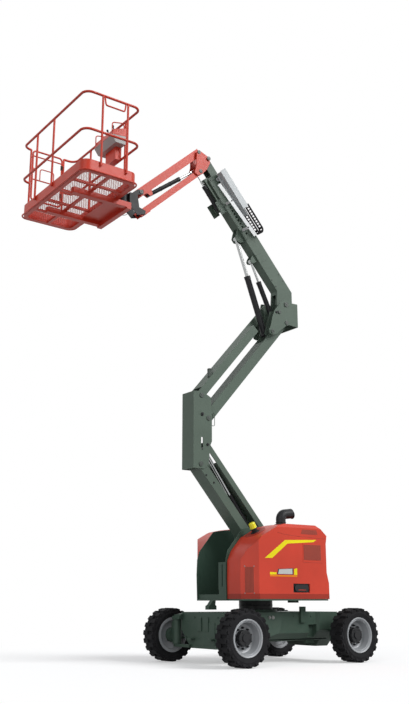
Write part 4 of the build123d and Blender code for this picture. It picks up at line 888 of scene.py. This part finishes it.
# ---- Jib -------------------------------------------------------------------
# Two red box beams between a plate head and the bracket that carries the basket. The bracket is
# black, with the rotator that turns the basket, and pins like the boom's join them all.
ROTATOR_R, ROTATOR_BANDS = 0.0625, (-0.08, 0.08)
JIB_PINS = (("jib_head", ("jib", "jib_lower", "head")), ("jib_bracket", ("jib_end",)))
for node in ("jib_head", "jib_beam_upper", "jib_beam_lower", "platform_support"):
    eased(node, 0.003, red)
eased("jib_bracket", 0.003, black)
for node, joints in JIB_PINS:
    mesh = bmesh.new()
    for joint in joints:
        for side in (1, -1):
            pin_end(mesh, node, joint_at[joint], 0.030, side)
    set_piece("pin_ends_" + node, mesh, pin_steel, node)
mesh = bmesh.new()
for level in ROTATOR_BANDS:
    add_ring(mesh, joint_at["rotator"] + Vector((0, 0, level)), (0, 0, 1), ROTATOR_R, 0.004, 40)
set_piece("rotator_bands", mesh, black, "jib_bracket")


# ---- Basket ----------------------------------------------------------------
# Frame of bent and welded tube on a tray with toe boards, all sprayed red. The grab handle hangs
# from the near end's top rail, and a thin plate closes the frame below the tray.
RAIL_R, GRAB_R, HANDLE_DROP = 0.017, 0.011, 0.125
HANDLE_FROM, HANDLE_TO, HANDLE_BEND = 0.245, 0.540, 0.012
OLD_HANDLE_Y, OLD_HANDLE_DROP = (0.545, 0.895), 0.14
CLOSING_PLATE_Y, CLOSING_PLATE_THICK = 0.36, 0.006
for node in ("basket_tray", "gate"):
    eased(node, 0.002, red)
rails = eased("basket_rails", 0.002, red)
rail_low, rail_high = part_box("basket_rails")
rail_top = rail_high.z - RAIL_R


def move_handle():
    """Takes the handle off the front rail, whose cut ends are closed, and hangs one on the near end."""
    mesh = bmesh.new()
    mesh.from_mesh(rails.data)
    start, end = OLD_HANDLE_Y
    loop = [v for v in mesh.verts if v.co.x > rail_high.x - 2 * RAIL_R
            and rail_top - OLD_HANDLE_DROP < v.co.z < rail_top - RAIL_R - 0.001
            and start < v.co.y - rail_low.y - RAIL_R < end]
    bmesh.ops.delete(mesh, geom=loop, context="VERTS")
    bmesh.ops.holes_fill(mesh, edges=[e for e in mesh.edges if e.is_boundary], sides=0)
    mesh.to_mesh(rails.data)
    mesh.free()
    handle = bmesh.new()
    left, right = (rail_low.x + RAIL_R + reach for reach in (HANDLE_FROM, HANDLE_TO))
    foot, bend = rail_top - HANDLE_DROP, HANDLE_BEND
    leg = ((-bend, rail_top - 0.004), (-bend / 2, rail_top - 0.05), (0.0, foot + 0.03), (bend, foot),
           (0.05, foot))
    line = [(left + x, z) for x, z in leg] + [((left + right) / 2, foot)]
    line += [(right - x, z) for x, z in reversed(leg)]
    add_tube(handle, [Vector((x, rail_high.y - RAIL_R, z)) for x, z in line], GRAB_R)
    return handle


set_piece("basket_handle", move_handle(), red, "basket_rails")
support_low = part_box("platform_support")[0]
tray_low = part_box("basket_tray")[0]
mesh = bmesh.new()
plate_x = (support_low.x + 0.235, tray_low.x + 0.16)
plate = oblong(plate_x, (-CLOSING_PLATE_Y, CLOSING_PLATE_Y))
add_slab(mesh, [Vector((x, y, tray_low.z - 0.034)) for x, y in plate], (0, 0, CLOSING_PLATE_THICK), 0.001)
set_piece("support_plate", mesh, red, "platform_support")


# ---- Basket floor ----------------------------------------------------------
# Expanded steel: a sheet slit and drawn out into a mesh of slanting strands, cut to the tray's
# rounded corners, welded in and sprayed with it.
MESH_PITCH, MESH_BAR, MESH_LEAN = 0.030, 0.0056, radians(62)
FLOOR_CORNER = 0.10


def expanded_metal(low, high):
    """Crossing slanted strands in a sheet's outline, cut to its rounded corners."""
    mesh = bmesh.new()
    middle, reach = (low + high) / 2, (high - low).length / 2
    for lean in (MESH_LEAN, -MESH_LEAN):
        step = Vector((-sin(lean), cos(lean), 0)) * MESH_PITCH
        shape = Matrix.Rotation(lean, 4, "Z") @ Matrix.Diagonal((2 * reach, MESH_BAR, high.z - low.z, 1))
        for i in range(-int(reach / MESH_PITCH), int(reach / MESH_PITCH) + 1):
            strand = bmesh.ops.create_cube(mesh, size=1.0)["verts"]
            bmesh.ops.transform(mesh, verts=strand, matrix=Matrix.Translation(middle + i * step) @ shape)
    inset = FLOOR_CORNER * (1 - cos(radians(45)))
    cuts = [((high.x, 0, 0), (1, 0, 0)), ((low.x, 0, 0), (-1, 0, 0))]
    cuts += [((0, high.y, 0), (0, 1, 0)), ((0, low.y, 0), (0, -1, 0))]
    for sx, x in ((1, high.x), (-1, low.x)):
        for sy, y in ((1, high.y), (-1, low.y)):
            cuts.append(((x - sx * inset, y - sy * inset, 0), (sx, sy, 0)))
    for place, facing in cuts:
        everything = mesh.verts[:] + mesh.edges[:] + mesh.faces[:]
        bmesh.ops.bisect_plane(mesh, geom=everything, plane_co=place, plane_no=facing, clear_outer=True)
        bmesh.ops.holes_fill(mesh, edges=[e for e in mesh.edges if e.is_boundary], sides=8)
    return mesh


strands = expanded_metal(*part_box("basket_floor"))
panel = set_piece("floor_expanded_metal", strands, red, "basket_floor")
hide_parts("basket_floor")


# ---- Platform console ------------------------------------------------------
# Folded steel desk in light grey on a red column, under a red hood. Its sloping face is black,
# with three joysticks in rubber boots, a row of switches and a stop button.
COLUMN_HEIGHT = 0.190
HOOD = ((-0.003, 0.125), (0.214, 0.100), (0.218, 0.090), (0.1935, 0.1835), (-0.003, 0.2545))
HOOD_OVERHANG = 0.003
PANEL_FOOT, PANEL_WAY = Vector((0.030, 0, 0.2435)), Vector((0.938, 0, -0.346))
PANEL_UP = Vector((0.346, 0, 0.938))
PANEL_DOWN, PANEL_HALF = (0.005, 0.150), 0.21
JOYSTICKS, SWITCHES, SWITCH_PITCH = (-0.15, 0.0, 0.15), 6, 0.068
box_grey = paint("console_grey", (0.44, 0.45, 0.44), 0.42)
low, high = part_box("platform_console")
desk_foot = Vector((low.x, (low.y + high.y) / 2, low.z + COLUMN_HEIGHT))
desk = eased("platform_console", 0.006, box_grey)
desk.data.materials.append(red)
for face in desk.data.polygons:
    height = face.center.z - desk_foot.z
    face.material_index = int(height < -0.002 or height > 0.26 or (face.area < 0.0012 and height > 0.12))
mesh = bmesh.new()
hood_y, hood_width = low.y - HOOD_OVERHANG, high.y - low.y + 2 * HOOD_OVERHANG
hood = [Vector((desk_foot.x + x, hood_y, desk_foot.z + z)) for x, z in HOOD]
add_slab(mesh, hood, (0, hood_width, 0), 0.004)
set_piece("console_hood", mesh, red, "platform_console")


def on_panel(down, across, proud=0.0):
    """A place on the console's sloping face."""
    return desk_foot + PANEL_FOOT + down * PANEL_WAY + Vector((0, across, 0)) + proud * PANEL_UP


mesh = bmesh.new()
face_corners = oblong(PANEL_DOWN, (-PANEL_HALF, PANEL_HALF))
add_slab(mesh, [on_panel(down, across, 0.009) for down, across in face_corners], 0.004 * PANEL_UP, 0.0015)
for across in JOYSTICKS:
    add_disc(mesh, on_panel(0.10, across, 0.012), PANEL_UP, 0.026, 0.012, 0.003, 28, top=0.019)
    add_disc(mesh, on_panel(0.10, across, 0.022), PANEL_UP, 0.008, 0.050, 0.001, 16)
    add_disc(mesh, on_panel(0.10, across, 0.066), PANEL_UP, 0.015, 0.026, 0.007, 24)
for i in range(SWITCHES):
    across = SWITCH_PITCH * (i - (SWITCHES - 1) / 2)
    add_disc(mesh, on_panel(0.035, across, 0.012), PANEL_UP, 0.010, 0.005, 0.001, 20)
    add_disc(mesh, on_panel(0.035, across, 0.016), PANEL_UP, 0.004, 0.016, 0.001, 12)
set_piece("console_controls", mesh, black, "platform_console")
mesh = bmesh.new()
add_disc(mesh, on_panel(0.065, 0.075, 0.012), PANEL_UP, 0.018, 0.020, 0.005, 28)
set_piece("console_stop_button", mesh, dark_red_and_painted_shade, "platform_console")


# ---- Gate hardware ---------------------------------------------------------
# Two coiled steel springs on the hinge post swing the gate shut, and a bolted latch plate on its
# other post holds it.
SPRING_HEIGHTS, SPRING_COILS, COIL_PITCH, COIL_R, WIRE_R = (0.16, 0.62), 7, 0.010, 0.0165, 0.0035
LATCH_HEIGHT, LATCH_X, LATCH_Z = 0.50, (-0.022, 0.022), (-0.04, 0.04)
hinge_axis = joint_at["gate"]
gate_low, gate_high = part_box("gate")
mesh = bmesh.new()
for foot in SPRING_HEIGHTS:
    for i in range(SPRING_COILS):
        coil = Vector((hinge_axis.x, hinge_axis.y, gate_low.z + foot + COIL_PITCH * i))
        add_ring(mesh, coil, (0, 0, 1), COIL_R, WIRE_R, 24)
set_piece("gate_springs", mesh, pin_steel, "gate")
mesh = bmesh.new()
latch = Vector((gate_high.x - 0.030, hinge_axis.y, gate_low.z + LATCH_HEIGHT))
add_slab(mesh, [latch + Vector((x, -0.022, z)) for x, z in oblong(LATCH_X, LATCH_Z)], (0, 0.010, 0), 0.003)
for height in (0.022, -0.022):
    add_bolt(mesh, latch + Vector((0, -0.0215, height)), (0, -1, 0), 0.006)
set_piece("gate_latch", mesh, red, "gate")
